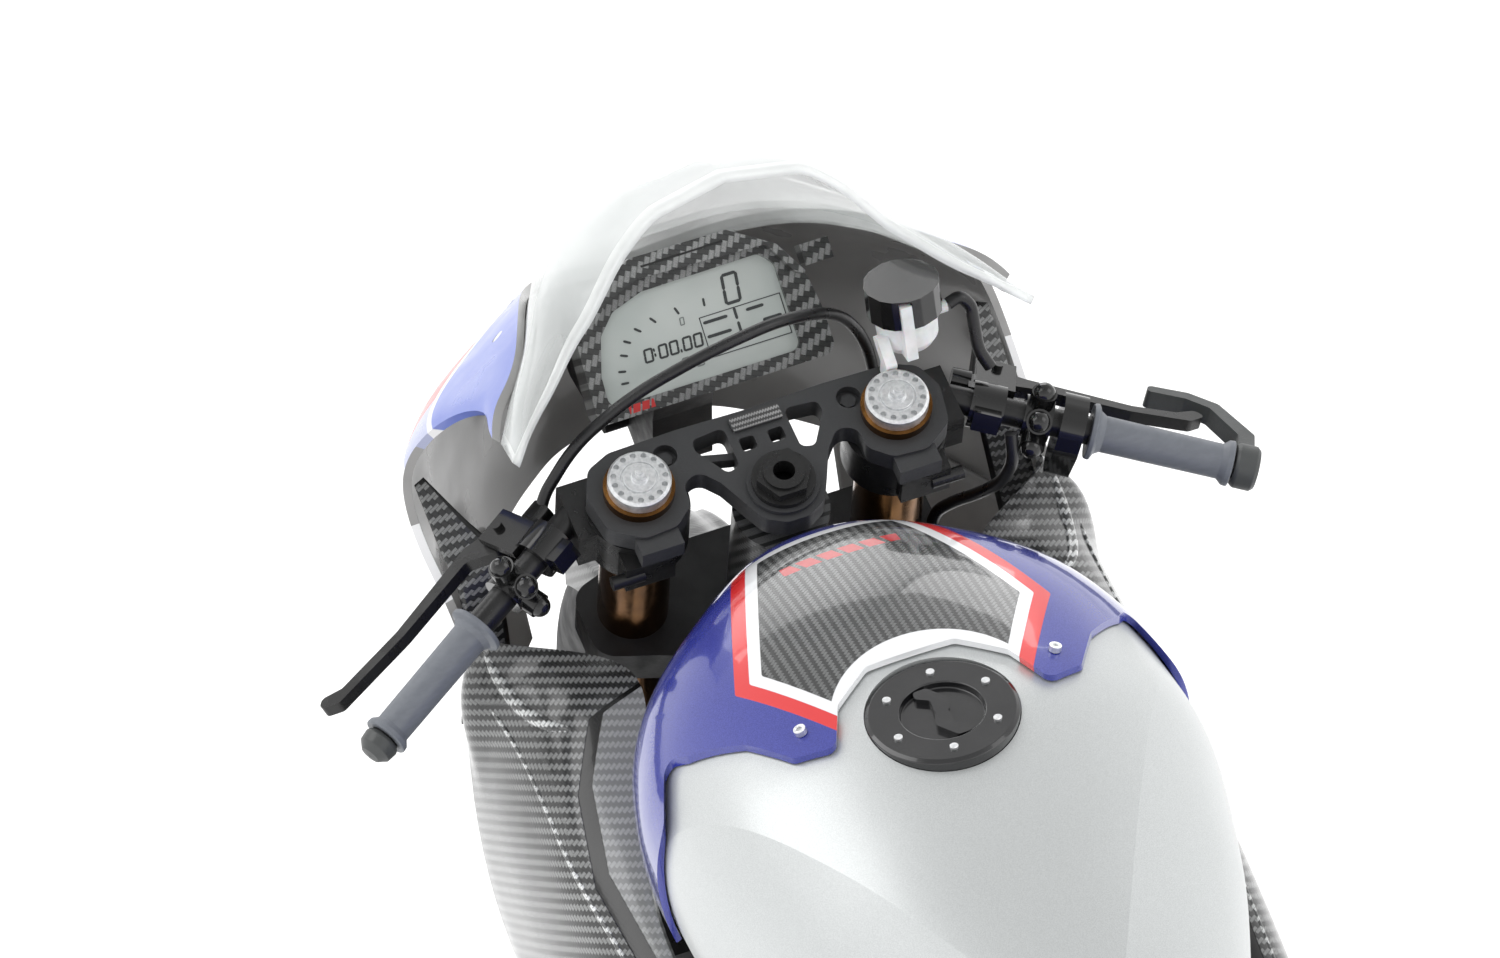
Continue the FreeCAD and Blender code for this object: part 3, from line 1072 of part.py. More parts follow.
SCREEN_SIDE = 1
FAIRING_LINES = (
    SCREEN_BASE,
    {"x": [(0, 0), (0.25, 12), (0.45, 22.5), (0.62, 31), (0.78, 37), (0.9, 40.5), (1, 42.6)],
     "y": [(0, 168), (0.25, 162.5), (0.45, 150), (0.62, 136), (0.78, 125), (0.9, 119), (1, 114)],
     "z": [(0, 167.5), (0.25, 171), (0.45, 178), (0.62, 184.5), (0.78, 188), (0.9, 189), (1, 189)]},
    {"x": [(0, 0), (0.25, 11), (0.45, 21), (0.62, 30.5), (0.78, 39), (0.9, 45), (1, 48.3)],
     "y": [(0, 171), (0.25, 167), (0.45, 159), (0.62, 148.5), (0.78, 138), (0.9, 129), (1, 122)],
     "z": [(0, 163), (0.25, 164.5), (0.45, 167.5), (0.62, 170.5), (0.78, 173), (0.9, 174), (1, 173.6)]},
    {"x": [(0, 0), (0.25, 12.5), (0.45, 23), (0.62, 33), (0.78, 41.5), (0.9, 46), (1, 47.8)],
     "y": [(0, 175), (0.25, 171), (0.45, 162), (0.62, 149), (0.78, 134), (0.9, 120.5), (1, 109)],
     "z": [(0, 150), (0.25, 150.5), (0.45, 152), (0.62, 154.5), (0.78, 157.5), (0.9, 160), (1, 160.8)]},
    {"x": [(0, 0), (0.25, 11), (0.45, 20.5), (0.62, 31), (0.78, 41.5), (0.9, 47), (1, 49.2)],
     "y": [(0, 172), (0.25, 168.5), (0.45, 161), (0.62, 148), (0.78, 131), (0.9, 117), (1, 106)],
     "z": [(0, 138.5), (0.25, 138.5), (0.45, 138.3), (0.62, 138), (0.78, 138.3), (0.9, 139), (1, 139.4)]},
)


def build_upper_fairing():
    columns = []
    for j in range(21):
        u = -1 + 2 * j / 20
        columns.append(resample([read_curve(line, u) for line in FAIRING_LINES], 11))
    rows = [[column[i] for column in columns] for i in range(11)]
    pockets = [cylinder(place, RIVET_RADIUS + float(D["running_gap"]), 4) for place in RIVET_PLACES]
    both_sides = pockets + [mirrored(pocket) for pocket in pockets]
    node("upper_fairing", cut(feature(panel(rows, D["panel_thickness"], FAIRING_SIDE)), *both_sides))


def air_duct():
    duct = side_plate(-9, [(150, 151), (168, 153), (168, 163), (158, 168), (150, 166)], 18, 2)
    duct_hollow = side_plate(-7.6, [(140, 153), (172, 155), (172, 161), (140, 164)], 15.2, 1)
    return cut(duct, duct_hollow)


FAIRING_SIDE = 1
# Side fairing sections from the inner top edge over the crease and down to the belly: (x, z) at a station y.
SIDE_SECTIONS = (
    (101, [(46.4, 158.5), (49.6, 152.8), (51.2, 142), (52.0, 130), (51.4, 108), (48, 88), (44, 72)]),
    (80, [(28.0, 156.5), (47.7, 147.5), (51.2, 137), (52.6, 124), (52, 98), (49, 70), (43, 50)]),
    (62, [(35.5, 147.0), (48.0, 141.4), (51.8, 130), (53.0, 116), (52, 84), (48, 54), (38, 38)]),
    (45, [(40.2, 138.8), (46.6, 135.4), (51.0, 122), (52.6, 106), (51, 74), (46, 46), (33, 32)]),
    (20, [(40.5, 128.0), (44.8, 126.0), (49.4, 112), (51.0, 96), (49, 66), (43, 42), (29, 29)]),
    (-8, [(39.0, 114.0), (42.6, 112.6), (46.4, 100), (48.0, 86), (46, 62), (40, 40), (27, 28)]),
    (-30, [(37.6, 98.0), (40.4, 96.8), (43.4, 86), (44.6, 76), (43, 58), (38, 40), (26, 29)]),
)


def build_side_fairings():
    rows = lofted(SIDE_SECTIONS, 15, 15)
    rows = [[p + Vector(0, (p.z - 140) * 0.06, 0) for p in row] for row in rows]
    side_panel = feature(panel(rows, D["panel_thickness"], SIDE_PANEL_SIDE))
    vent_frame = Placement(Vector(30, 0, 0), SIDE_TURN)
    vent = plate(vent_frame, [rounded([(34, 96), (58, 104), (52, 82), (30, 72)], 4)], 40)
    muffler_way = cylinder(at(MUFFLER_PLACE, 0, 0, -12), MUFFLER_CLEARANCE, 40)
    right = cut(side_panel, vent, muffler_way, feature(hose(PIPE_ROUTE, PIPE_DIA + 1.6)))
    node("side_fairings", pair(right))

    belly = []
    for y, half, low in ((74, 30, 44), (60, 33, 31), (40, 29, 26.5), (10, 27, 25.5), (-20, 26, 26.5),
                         (-44, 22, 32)):
        belly.append((y, [(half, low + 12), (half - 2, low + 4), (half - 9, low), (0, low - 0.6),
                          (9 - half, low),
                          (2 - half, low + 4), (-half, low + 12)]))
    floor_panel = feature(panel(lofted(belly, 11, 15), D["panel_thickness"], BELLY_SIDE))
    arm_slots = [world_box((side * 19 - 2.0, side * 19 + 2.0), (13, 29), (20, 48)) for side in (-1, 1)]
    pipe_way = feature(hose(PIPE_ROUTE, PIPE_DIA + 1.6))
    node("belly_pan", cut(floor_panel, *arm_slots, pipe_way))


SIDE_PANEL_SIDE = 1
BELLY_SIDE = 1
PIPE_DIA = 8.4
PIPE_ROUTE = [(8, 49.9, 84.2), (8, 55.7, 79.5), (8, 56.4, 64), (8, 54.5, 45), (9, 43, 34.2), (10, 14, 33.2),
              (24, -8, 37), (36, -26, 50), (38.2, -38, 58.5)]
MUFFLER_PLACE = Placement(Vector(39.4, -41, 61), Rotation(Vector(0, 0, 1), Vector(6, -60, 8)))
MUFFLER_CLEARANCE = 10.2


def build_covers():
    knee = side_plate(31.4, [(74, 128), (68, 135), (40, 134.5), (0, 128), (-30, 112), (-34, 96), (-8, 100),
                             (34, 114)], 1.4, 5)
    stay = [cylinder(Placement(Vector(21.02, y, z), TURN["x"]), 1.6, 10.5) for y, z in ((50, 131), (-14,
            106))]
    node("frame_covers", pair(fuse(knee, *stay)))

    # Dash: a panel tilted up at the rider, its left end curved and its right end square.
    dash = Placement(Vector(0.6, 124.5, 184.6), Rotation(Vector(1, 0, 0), 54))
    housing_outline = [(-18.8, -9.8), (20.6, -9.8), (20.4, -2), (19.6, 3), (16, 9), (9, 13.4), (-6.8, 13.6),
                       (-13.8, 10.6), (-18.4, 3)]
    lcd_outline = [(-16.4, -7.6), (15.4, -7.6), (15.2, 6.4), (13.2, 8.4), (-6.2, 8.2), (-11.5, 6.5),
                   (-14.4, 3.4),
                   (-16.2, -2.5)]
    hood_outline = [(-18.4, 3), (-13.8, 10.6), (-6.8, 13.6), (9, 13.4), (16, 9), (19.6, 3), (17.6, 4),
                    (14.4, 9.4),
                    (-6.6, 10.2), (-12.6, 8), (-16.4, 4)]
    housing = fuse(plate(at(dash, 0, 0, -5.6), [rounded(housing_outline, 2.2)], 6.4),
                   plate(at(dash, 0, 0, 0.5), [rounded(hood_outline, 1.2)], 2.2),
                   box(dash, (20.3, 4.4, -4.6), (25.0, 7.8, -1.0)))
    pocket = plate(at(dash, 0, 0, -1.6), [rounded(lcd_outline, 1.6)], 5)
    node("dash_housing", cut(housing, pocket))
    node("dash_display", plate(at(dash, 0, 0, -1.6), [rounded(lcd_outline, 1.6)], 1.4))
    stay_outline = [(158, 156), (158, 161), (133, 180), (128, 176), (136, 162), (140, 150), (146, 146),
                    (150, 150)]
    node("dash_stay", fuse(side_plate(-5, stay_outline, 10, 1.5), air_duct()))

    seat = []
    for y, half, top in ((-54, 15, 165.2), (-66, 19, 166.2), (-86, 22, 167), (-102, 21, 169),
                         (-111, 17.5, 171.4)):
        seat.append((y, [(half, top - 4.5), (half - 1.5, top - 1.2), (half - 6, top + 0.6), (0, top),
                         (6 - half, top + 0.6), (1.5 - half, top - 1.2), (-half, top - 4.5)]))
    node("seat_pad", feature(panel(lofted(seat, 9, 13), 3.0, SEAT_SIDE)))
    tail = []
    for y, half, top, low in ((-58, 22, 160.0, 150), (-90, 25.5, 161, 148), (-114, 24, 166, 150),
                              (-128, 21, 183, 153),
                              (-145, 18, 190, 158), (-168, 14, 192, 168), (-192, 9, 193, 181)):
        tail.append((y, [(half - 3, low), (half, low + 0.45 * (top - low)), (half - 2.5, top - 2),
                         (half * 0.55, top),
                         (0, top + 0.3), (-half * 0.55, top), (2.5 - half, top - 2),
                         (-half, low + 0.45 * (top - low)), (3 - half, low)]))
    node("tail_cowl", feature(panel(lofted(tail, 17, 21), 1.2, TAIL_SIDE)))


SEAT_SIDE = 1
TAIL_SIDE = 1


def build_fittings():
    pipe = feature(hose(PIPE_ROUTE, PIPE_DIA))
    muffler = lathe(MUFFLER_PLACE, [(0, -4), (4.8, -4), (9.0, 9), (9.4, 44), (8.0, 58), (5.4, 60), (5.0, 50),
                                    (0, 50)], 0.8)
    node("exhaust", fuse(pipe, muffler))

    spacer = cylinder(Placement(Vector(21.02, -38, 92), TURN["x"]), 2.2, 12.3)
    outer_plate = side_plate(31.6, [(-34, 92), (-42, 97), (-62, 93), (-72, 80), (-64, 76), (-48, 82),
                                    (-36, 86)], 2.0, 2)
    peg = lathe(Placement(Vector(33.4, -66, 84.5), TURN["x"]), [(0, 0), (2.2, 0), (2.2, 14), (2.8, 14.6),
            (2.8, 16), (0, 16)], 0.2)
    pedal = side_plate(34.0, [(-58, 85.5), (-38, 84.6), (-36, 87.4), (-50, 88.4), (-58, 88.4)], 1.6, 1)
    toe = cylinder(Placement(Vector(34.0, -37.5, 86), TURN["x"]), 1.2, 6)
    node("footrests", pair(fuse(spacer, outer_plate, peg, pedal, toe)))

    bar = cylinder(Placement(Vector(-52, 22, 12.6), TURN["x"]), 2.6, 104)
    arms = [side_plate(side * 19 - 1.5, [(18, 11), (26, 11), (27, 44.4), (20, 44.4)], 3.0,
                       0.8) for side in (-1, 1)]
    puck = lathe(Placement(Vector(50, 22, 12.6), TURN["x"]), [(2.6, 0), (6.0, 0), (7.0, 1.4), (7.0, 5.0),
            (4.8, 7.8),
                                                              (0, 8.4), (0, 2), (2.6, 2)], 0.8)
    node("crash_bar", fuse(bar, *arms, puck, mirrored(puck)))


def main():
    build_frame()
    build_drive()
    build_front_wheel()
    build_fork_lower()
    build_steering()
    build_handlebars()
    build_hoses()
    build_rear()
    tank_screws = build_tank()
    screen_screws = build_screen()
    node("trim_screws", group(*tank_screws, *screen_screws))
    build_upper_fairing()
    build_side_fairings()
    build_covers()
    build_fittings()
    doc.recompute()
    faulty = [item.Label for item in doc.Objects if "Invalid" in item.State or "Error" in item.State]
    empty = [item.Label for item in NODES if item.Shape.isNull() or not item.Shape.isValid()
             or not item.Shape.Solids]
    if faulty or empty:
        raise RuntimeError(f"features that failed: {faulty}; nodes with a bad shape: {empty}")
    os.makedirs("parts", exist_ok=True)
    for item in NODES:
        item.Shape.exportStep(f"parts/{item.Label}.step")
        bounds = item.Shape.BoundBox
        print(f"{item.Label:22s} {len(item.Shape.Solids):3d} solids {item.Shape.Volume:9.0f} mm3 "
              f"x {bounds.XMin:7.1f} {bounds.XMax:7.1f} y {bounds.YMin:7.1f} {bounds.YMax:7.1f} "
              f"z {bounds.ZMin:7.1f} {bounds.ZMax:7.1f}")


main()
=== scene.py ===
"""Looks for a one-fifth scale radio-controlled racing motorcycle.

Materials, fine pieces, studio and camera. Everything is in metres in the CAD's own frame:
+Y forward, +X the rider's right, +Z up, ground at z = 0.
Numbers named in millimetres are multiplied by MM where they reach a mesh.
"""
import math

import bpy
from mathutils import Matrix, Vector


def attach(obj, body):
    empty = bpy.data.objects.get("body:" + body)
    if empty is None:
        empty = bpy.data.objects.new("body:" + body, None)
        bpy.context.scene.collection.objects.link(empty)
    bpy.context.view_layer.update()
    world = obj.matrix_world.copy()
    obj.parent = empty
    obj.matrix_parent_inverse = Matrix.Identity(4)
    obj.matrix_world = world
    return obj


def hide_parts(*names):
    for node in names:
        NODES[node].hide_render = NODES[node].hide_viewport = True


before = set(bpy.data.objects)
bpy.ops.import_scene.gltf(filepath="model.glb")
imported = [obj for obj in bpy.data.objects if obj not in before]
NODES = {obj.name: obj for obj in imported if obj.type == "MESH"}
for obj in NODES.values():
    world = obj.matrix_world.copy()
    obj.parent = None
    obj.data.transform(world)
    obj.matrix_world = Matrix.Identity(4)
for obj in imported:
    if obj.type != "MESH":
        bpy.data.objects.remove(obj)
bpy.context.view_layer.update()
MM = 0.001

# ---------------------------------------------------------------- the object's own frames

RAKE = math.radians(24.5)
STEER = Matrix.Translation((0, 0.1674, 0)) @ Matrix.Rotation(RAKE, 4, "X")
DASH = Matrix.Translation((0.0006, 0.1245, 0.1846)) @ Matrix.Rotation(math.radians(54), 4, "X")
WORLD = Matrix.Identity(4)
CAP_CENTRE_Y = 18.2
SIDES = ((-1, "left"), (1, "right"))

# Half curves of the screen and of the fairing against u, from 0 at the centre to 1 at the rear end.
SCREEN_BASE = (
    [(0, 0), (0.25, 10), (0.45, 19), (0.62, 26), (0.78, 31), (0.9, 36), (1, 41)],
    [(0, 164), (0.25, 158), (0.45, 143), (0.62, 123), (0.78, 108), (0.9, 99), (1, 91)],
    [(0, 172.5), (0.25, 177.5), (0.45, 187.5), (0.62, 197.5), (0.78, 202), (0.9, 202.4), (1, 200)],
)
SCREEN_TOP = (
    [(0, 0), (0.25, 11), (0.4, 17.6), (0.6, 26.1), (0.8, 34), (1, 42.2)],
    [(0, 93), (0.25, 91.6), (0.4, 92), (0.6, 92), (0.8, 88), (1, 81)],
    [(0, 233.5), (0.25, 232), (0.4, 226.5), (0.6, 214.8), (0.8, 207.6), (1, 203.2)],
)
SCREEN_LEAN = Vector((0, 0.5, 0.87))
SCREEN_BULGE = 9.0
SCREEN_THICKNESS = 1.5
# The crease between the top face and the flank of a side panel: (y, x, z).
PANEL_CREASE = [(101, 49.6, 152.8), (80, 47.7, 147.5), (62, 48.0, 141.4), (45, 46.6, 135.4),
                (20, 44.8, 126.0), (-8, 42.6, 112.6), (-28, 40.6, 98.0)]
PANEL_SWEEP = 0.06
PANEL_SWEEP_LEVEL = 140
# The curled lip of the air scoop, as (x, y) on the panel's top face.
SCOOP_LIP = [(47.0, 99.5), (46.4, 94), (45.2, 88), (43.4, 82.5), (40.4, 78)]
# Seat stations: (y, half width, top).
SEAT = [(-54, 15, 165.2), (-66, 19, 166.2), (-86, 22, 167), (-102, 21, 169), (-111, 17.5, 171.4)]


def spline(knots, t):
    """A smooth curve through (t, value) knots, read at t, with no overshoot between them."""
    knots = sorted(knots)
    if t <= knots[0][0]:
        return knots[0][1]
    if t >= knots[-1][0]:
        return knots[-1][1]
    slopes = [(b[1] - a[1]) / (b[0] - a[0]) for a, b in zip(knots, knots[1:])]
    tangents = [slopes[0]]
    for a, b in zip(slopes, slopes[1:]):
        tangents.append(0.0 if a * b <= 0 else 2 * a * b / (a + b))
    tangents.append(slopes[-1])
    i = max(k for k in range(len(knots) - 1) if knots[k][0] <= t)
    width = knots[i + 1][0] - knots[i][0]
    u = (t - knots[i][0]) / width
    return (knots[i][1] * (1 + 2 * u) * (1 - u) ** 2 + knots[i + 1][1] * u * u * (3 - 2 * u)
            + width * (tangents[i] * u * (1 - u) ** 2 - tangents[i + 1] * u * u * (1 - u)))


def srgb(red, green, blue):
    """A colour given as it looks, 0 to 255, turned into the linear one that a shader takes."""
    return tuple((v / 255 / 12.92) if v < 10 else ((v / 255 + 0.055) / 1.055) ** 2.4
                 for v in (red, green, blue))


# ---------------------------------------------------------------- node-tree helper

class Look:
    """A material and short ways to wire its nodes. Lengths read from the point are in millimetres."""

    def __init__(self, name, color=(0.5, 0.5, 0.5), rough=0.5, metal=0.0, **sockets):
        self.material = bpy.data.materials.new(name)
        self.material.use_nodes = True
        self.tree = self.material.node_tree
        self.shader = self.tree.nodes["Principled BSDF"]
        self.shader.inputs["Base Color"].default_value = (*color, 1)
        self.shader.inputs["Roughness"].default_value = rough
        self.shader.inputs["Metallic"].default_value = metal
        for socket, value in sockets.items():
            self.shader.inputs[socket.replace("_", " ")].default_value = value
        self.height = None
        coordinates = self.add("ShaderNodeTexCoord")
        self.point = self.add("ShaderNodeVectorMath", coordinates.outputs["Object"],
                              (1 / MM, 1 / MM, 1 / MM), operation="MULTIPLY").outputs[0]
        self.x, self.y, self.z = self.add("ShaderNodeSeparateXYZ", self.point).outputs
        normal = coordinates.outputs["Normal"]
        self.nx, self.ny, self.nz = self.add("ShaderNodeSeparateXYZ", normal).outputs

    def add(self, kind, *values, **settings):
        """A node of this kind, with its inputs in order: a socket is linked, a value is set."""
        item = self.tree.nodes.new(kind)
        for key, value in settings.items():
            setattr(item, key, value)
        for socket, value in zip(item.inputs, values):
            self.join(value, socket)
        return item

    def join(self, value, socket):
        """Link a socket, or set a number or tuple; None leaves the input alone."""
        if isinstance(value, bpy.types.NodeSocket):
            self.tree.links.new(value, socket)
        elif value is not None:
            socket.default_value = value

    def math(self, operation, *values, clamp=False):
        return self.add("ShaderNodeMath", *values, operation=operation, use_clamp=clamp).outputs[0]

    def sum(self, *terms):
        """Add up (factor, socket) pairs and plain numbers."""
        total = None
        for term in terms:
            value = self.math("MULTIPLY", term[1], term[0]) if isinstance(term, tuple) else term
            total = value if total is None else self.math("ADD", total, value)
        return total

    def both(self, *masks):
        """1 where every mask is 1."""
        total = masks[0]
        for mask in masks[1:]:
            total = self.math("MULTIPLY", total, mask)
        return total

    def above(self, value, edge, soft=0.06):
        """1 where the value is over the edge, with a soft step of a few hundredths of a millimetre."""
        return self.ramp(value, edge - soft, edge + soft)

    def below(self, value, edge, soft=0.06):
        return self.ramp(value, edge - soft, edge + soft, 1.0, 0.0)

    def within(self, value, low, high, soft=0.06):
        return self.both(self.above(value, low, soft), self.below(value, high, soft))

    def noise(self, scale, detail=2.0, rough=0.5, stretch=None):
        """Noise with this many features in a millimetre."""
        vector = self.point
        if stretch:
            vector = self.add("ShaderNodeVectorMath", vector, stretch, operation="MULTIPLY").outputs[0]
        item = self.add("ShaderNodeTexNoise")
        self.join(vector, item.inputs["Vector"])
        item.inputs["Scale"].default_value = scale
        item.inputs["Detail"].default_value = detail
        item.inputs["Roughness"].default_value = rough
        return item.outputs["Fac"]

    def ramp(self, value, low, high, to_low=0.0, to_high=1.0, smooth=True):
        item = self.add("ShaderNodeMapRange", interpolation_type="SMOOTHSTEP" if smooth else "LINEAR")
        for socket, given in zip(item.inputs[:5], (value, low, high, to_low, to_high)):
            self.join(given, socket)
        return item.outputs[0]

    def pick(self, factor, first, second):
        """Blend two numbers."""
        item = self.add("ShaderNodeMix", factor, data_type="FLOAT")
        self.join(first, item.inputs[2])
        self.join(second, item.inputs[3])
        return item.outputs[0]

    def mix(self, factor, first, second):
        """Blend two colours."""
        item = self.add("ShaderNodeMix", data_type="RGBA")
        self.join(factor, item.inputs["Factor"])
        for socket, value in ((item.inputs[6], first), (item.inputs[7], second)):
            self.join(value if isinstance(value, bpy.types.NodeSocket) else (*value, 1), socket)
        return item.outputs[2]

    def mottle(self, noise, first, second):
        """Two colours blended over the middle of a noise's range."""
        return self.mix(self.ramp(noise, 0.3, 0.7), first, second)

    def paint(self, base, *coats):
        """Lay (mask, colour) coats one over another and give the result to the shader."""
        for mask, coat in coats:
            base = self.mix(mask, base, coat)
        return self.color(base)

    def color(self, value):
        linked = isinstance(value, bpy.types.NodeSocket)
        self.join(value if linked else (*value, 1), self.shader.inputs["Base Color"])
        return self

    def rough(self, value):
        self.join(value, self.shader.inputs["Roughness"])
        return self

    def bump(self, height, depth, strength=1.0):
        """Bump from a 0 to 1 height, of a depth in millimetres."""
        item = self.add("ShaderNodeBump")
        item.inputs["Strength"].default_value = strength
        item.inputs["Distance"].default_value = depth * MM
        self.join(height, item.inputs["Height"])
        if self.height is not None:
            self.join(self.height, item.inputs["Normal"])
        self.height = item.outputs[0]
        self.join(self.height, self.shader.inputs["Normal"])
        return self

    def grain(self, scale, depth, rough_low, rough_high, detail=3.0):
        """Fine surface grain, with the roughness following a broader one."""
        self.rough(self.ramp(self.noise(scale * 0.13, 3.0), 0.3, 0.7, rough_low, rough_high))
        return self.bump(self.noise(scale, detail), depth)

    def in_frame(self, place):
        """The point in another frame of the object, as x, y, z in millimetres."""
        inverse = place.inverted()
        found = []
        for row in inverse:
            part = self.add("ShaderNodeVectorMath", self.point, tuple(row[:3]), operation="DOT_PRODUCT")
            found.append(self.math("ADD", part.outputs["Value"], row[3] / MM))
        return found[:3]


def dress(look, *names):
    """Give a material to CAD nodes, on every slot they have."""
    for name in names:
        for item in NODES[name].material_slots:
            item.material = look.material


# ---------------------------------------------------------------- carbon cloth

def twill(look, along, across, cell, dark, light):
    """Two-by-two twill whose ribs run along one direction: returns its colour and its height."""
    scale = 1 / (math.sqrt(2) * cell)
    first = look.sum((scale, along), (scale, across))
    second = look.sum((scale, along), (-scale, across))
    offset = look.math("SUBTRACT", look.math("FLOOR", first), look.math("FLOOR", second))
    step = look.math("FLOORED_MODULO", offset, 4.0)
    over = look.math("LESS_THAN", step, 1.5)
    crown_first = look.ramp(look.math("PINGPONG", first, 0.5), 0.0, 0.22, 0.45, 1.0)
    crown_second = look.ramp(look.math("PINGPONG", second, 0.5), 0.0, 0.22, 0.45, 1.0)
    fibre = look.noise(7.0, 3.0, 0.7)
    tone = look.pick(over, look.math("MULTIPLY", crown_first, 0.12), crown_second)
    tone = look.math("MULTIPLY", tone, look.ramp(fibre, 0.3, 0.7, 0.55, 1.0))
    patchy = look.ramp(look.noise(0.06, 2.0), 0.3, 0.7, 0.75, 1.1)
    color = look.mix(look.math("MULTIPLY", tone, patchy), dark, light)
    return color, look.math("MULTIPLY", crown_first, crown_second)


def carbon(name, cell, lay, light=0.30, rough=0.22, coat=0.35):
    """Woven carbon under clear resin; lay gives the along and across coordinates of its ribs."""
    look = Look(name, rough=rough, Specular_IOR_Level=0.4, Coat_Weight=coat, Coat_Roughness=0.08)
    along, across = lay(look)
    pale = (light, light * 1.02, light * 1.01)
    color, height = twill(look, along, across, cell, (0.008, 0.0085, 0.0085), pale)
    look.color(color)
    look.bump(height, 0.03, 0.4)
    return look


def panel_lay(look):
    """Ribs that fall across the side panels, on the flank and on the top face alike."""
    side = look.above(look.math("ABSOLUTE", look.nx), 0.75, 0.01)
    on_top = look.sum((0.93, look.x), (-0.35, look.y))
    on_flank = look.sum((0.84, look.y), (-0.54, look.z))
    return look.pick(side, on_top, on_flank), look.sum((0.28, look.x), (0.52, look.y), (0.80, look.z))


def knee_lay(look):
    """Ribs down the flanks of the frame, the knee covers and the mudguard."""
    return look.sum((0.8, look.y), (-0.6, look.z)), look.sum((0.6, look.y), (0.8, look.z))


def dash_lay(look):
    """Ribs across the dash, in its own tilted frame."""
    x, y, _ = look.in_frame(DASH)
    return look.sum((0.9, x), (0.3, y)), look.sum((-0.3, x), (0.9, y))


def lining_lay(look):
    """Ribs down the flange inside the fairing's rear edge."""
    return look.sum((0.7, look.x), (-0.7, look.y)), look.sum((0.3, look.y), (0.95, look.z))


# ---------------------------------------------------------------- materials

def plain_looks():
    """Materials of the hard parts, each with its own grain."""
    clamp = Look("clamp_black", (0.035, 0.036, 0.038), 0.5)
    clamp.grain(2.2, 0.03, 0.40, 0.54)
    x, y, _ = clamp.in_frame(STEER)
    plaque = clamp.both(clamp.within(x, -3.7, 4.3), clamp.within(y, 10.9, 13.3))
    weave_color, _ = twill(clamp, x, y, 0.32, (0.02, 0.02, 0.02), (0.42, 0.42, 0.42))
    clamp.paint((0.035, 0.036, 0.038), (plaque, weave_color))
    dress(clamp, "upper_clamp")
    matt = Look("matt_black", (0.012, 0.012, 0.013), 0.5).grain(2.6, 0.03, 0.42, 0.56)
    dress(matt, "lower_clamp", "subframe", "electronics", "steering_servo", "dash_stay", "crankcase",
          "servo_horn", "steering_link")
    fins = Look("radiator_fins", (0.05, 0.05, 0.052), 0.4, 0.4)
    rows = fins.math("PINGPONG", fins.math("MULTIPLY", fins.z, 1 / 1.1), 0.5)
    cells = fins.math("PINGPONG", fins.sum((1 / 0.7, fins.x)), 0.5)
    mesh = fins.both(fins.above(rows, 0.12, 0.04), fins.above(cells, 0.1, 0.05))
    fins.paint((0.10, 0.10, 0.105), (mesh, (0.018, 0.018, 0.02)))
    fins.bump(mesh, -0.25)
    dress(fins, "radiator")
    satin = Look("satin_black", (0.011, 0.011, 0.011), 0.36).grain(1.8, 0.02, 0.24, 0.38)
    dress(satin, "clip_on_bars", "brake_lever", "clutch_lever", "stem_nut", "crash_bar", "footrests",
          "front_calipers", "fork_legs")
    spokes = Look("rim_black", (0.012, 0.012, 0.013), 0.3, Coat_Weight=0.3, Coat_Roughness=0.15)
    spokes.grain(1.2, 0.02, 0.22, 0.34)
    dress(spokes, "front_rim", "rear_rim")
    gloss = Look("gloss_black", (0.007, 0.007, 0.007), 0.15, Coat_Weight=0.3, Coat_Roughness=0.05)
    gloss.grain(0.6, 0.012, 0.08, 0.17)
    dress(gloss, "handlebar_controls", "battery_pack", "reservoir_cap")
    cap = Look("cap_black", (0.010, 0.010, 0.011), 0.16, Coat_Weight=0.7, Coat_Roughness=0.04)
    cap.grain(0.9, 0.01, 0.1, 0.22)
    dress(cap, "fuel_cap")
    rubber = Look("hose_rubber", (0.012, 0.012, 0.013), 0.32).grain(3.0, 0.015, 0.24, 0.4)
    dress(rubber, "cable_and_hoses")
    ends = Look("bar_end_grey", (0.06, 0.064, 0.064), 0.4).grain(2.4, 0.03, 0.32, 0.5)
    dress(ends, "bar_ends")
    grip = Look("grip_grey", srgb(112, 116, 124), 0.5)
    streaks = grip.noise(0.5, 3.0, stretch=(1, 1, 3))
    grip.color(grip.mottle(streaks, srgb(108, 112, 119), srgb(114, 118, 125)))
    grip.grain(2.4, 0.012, 0.38, 0.5)
    dress(grip, "left_grip", "throttle_grip")


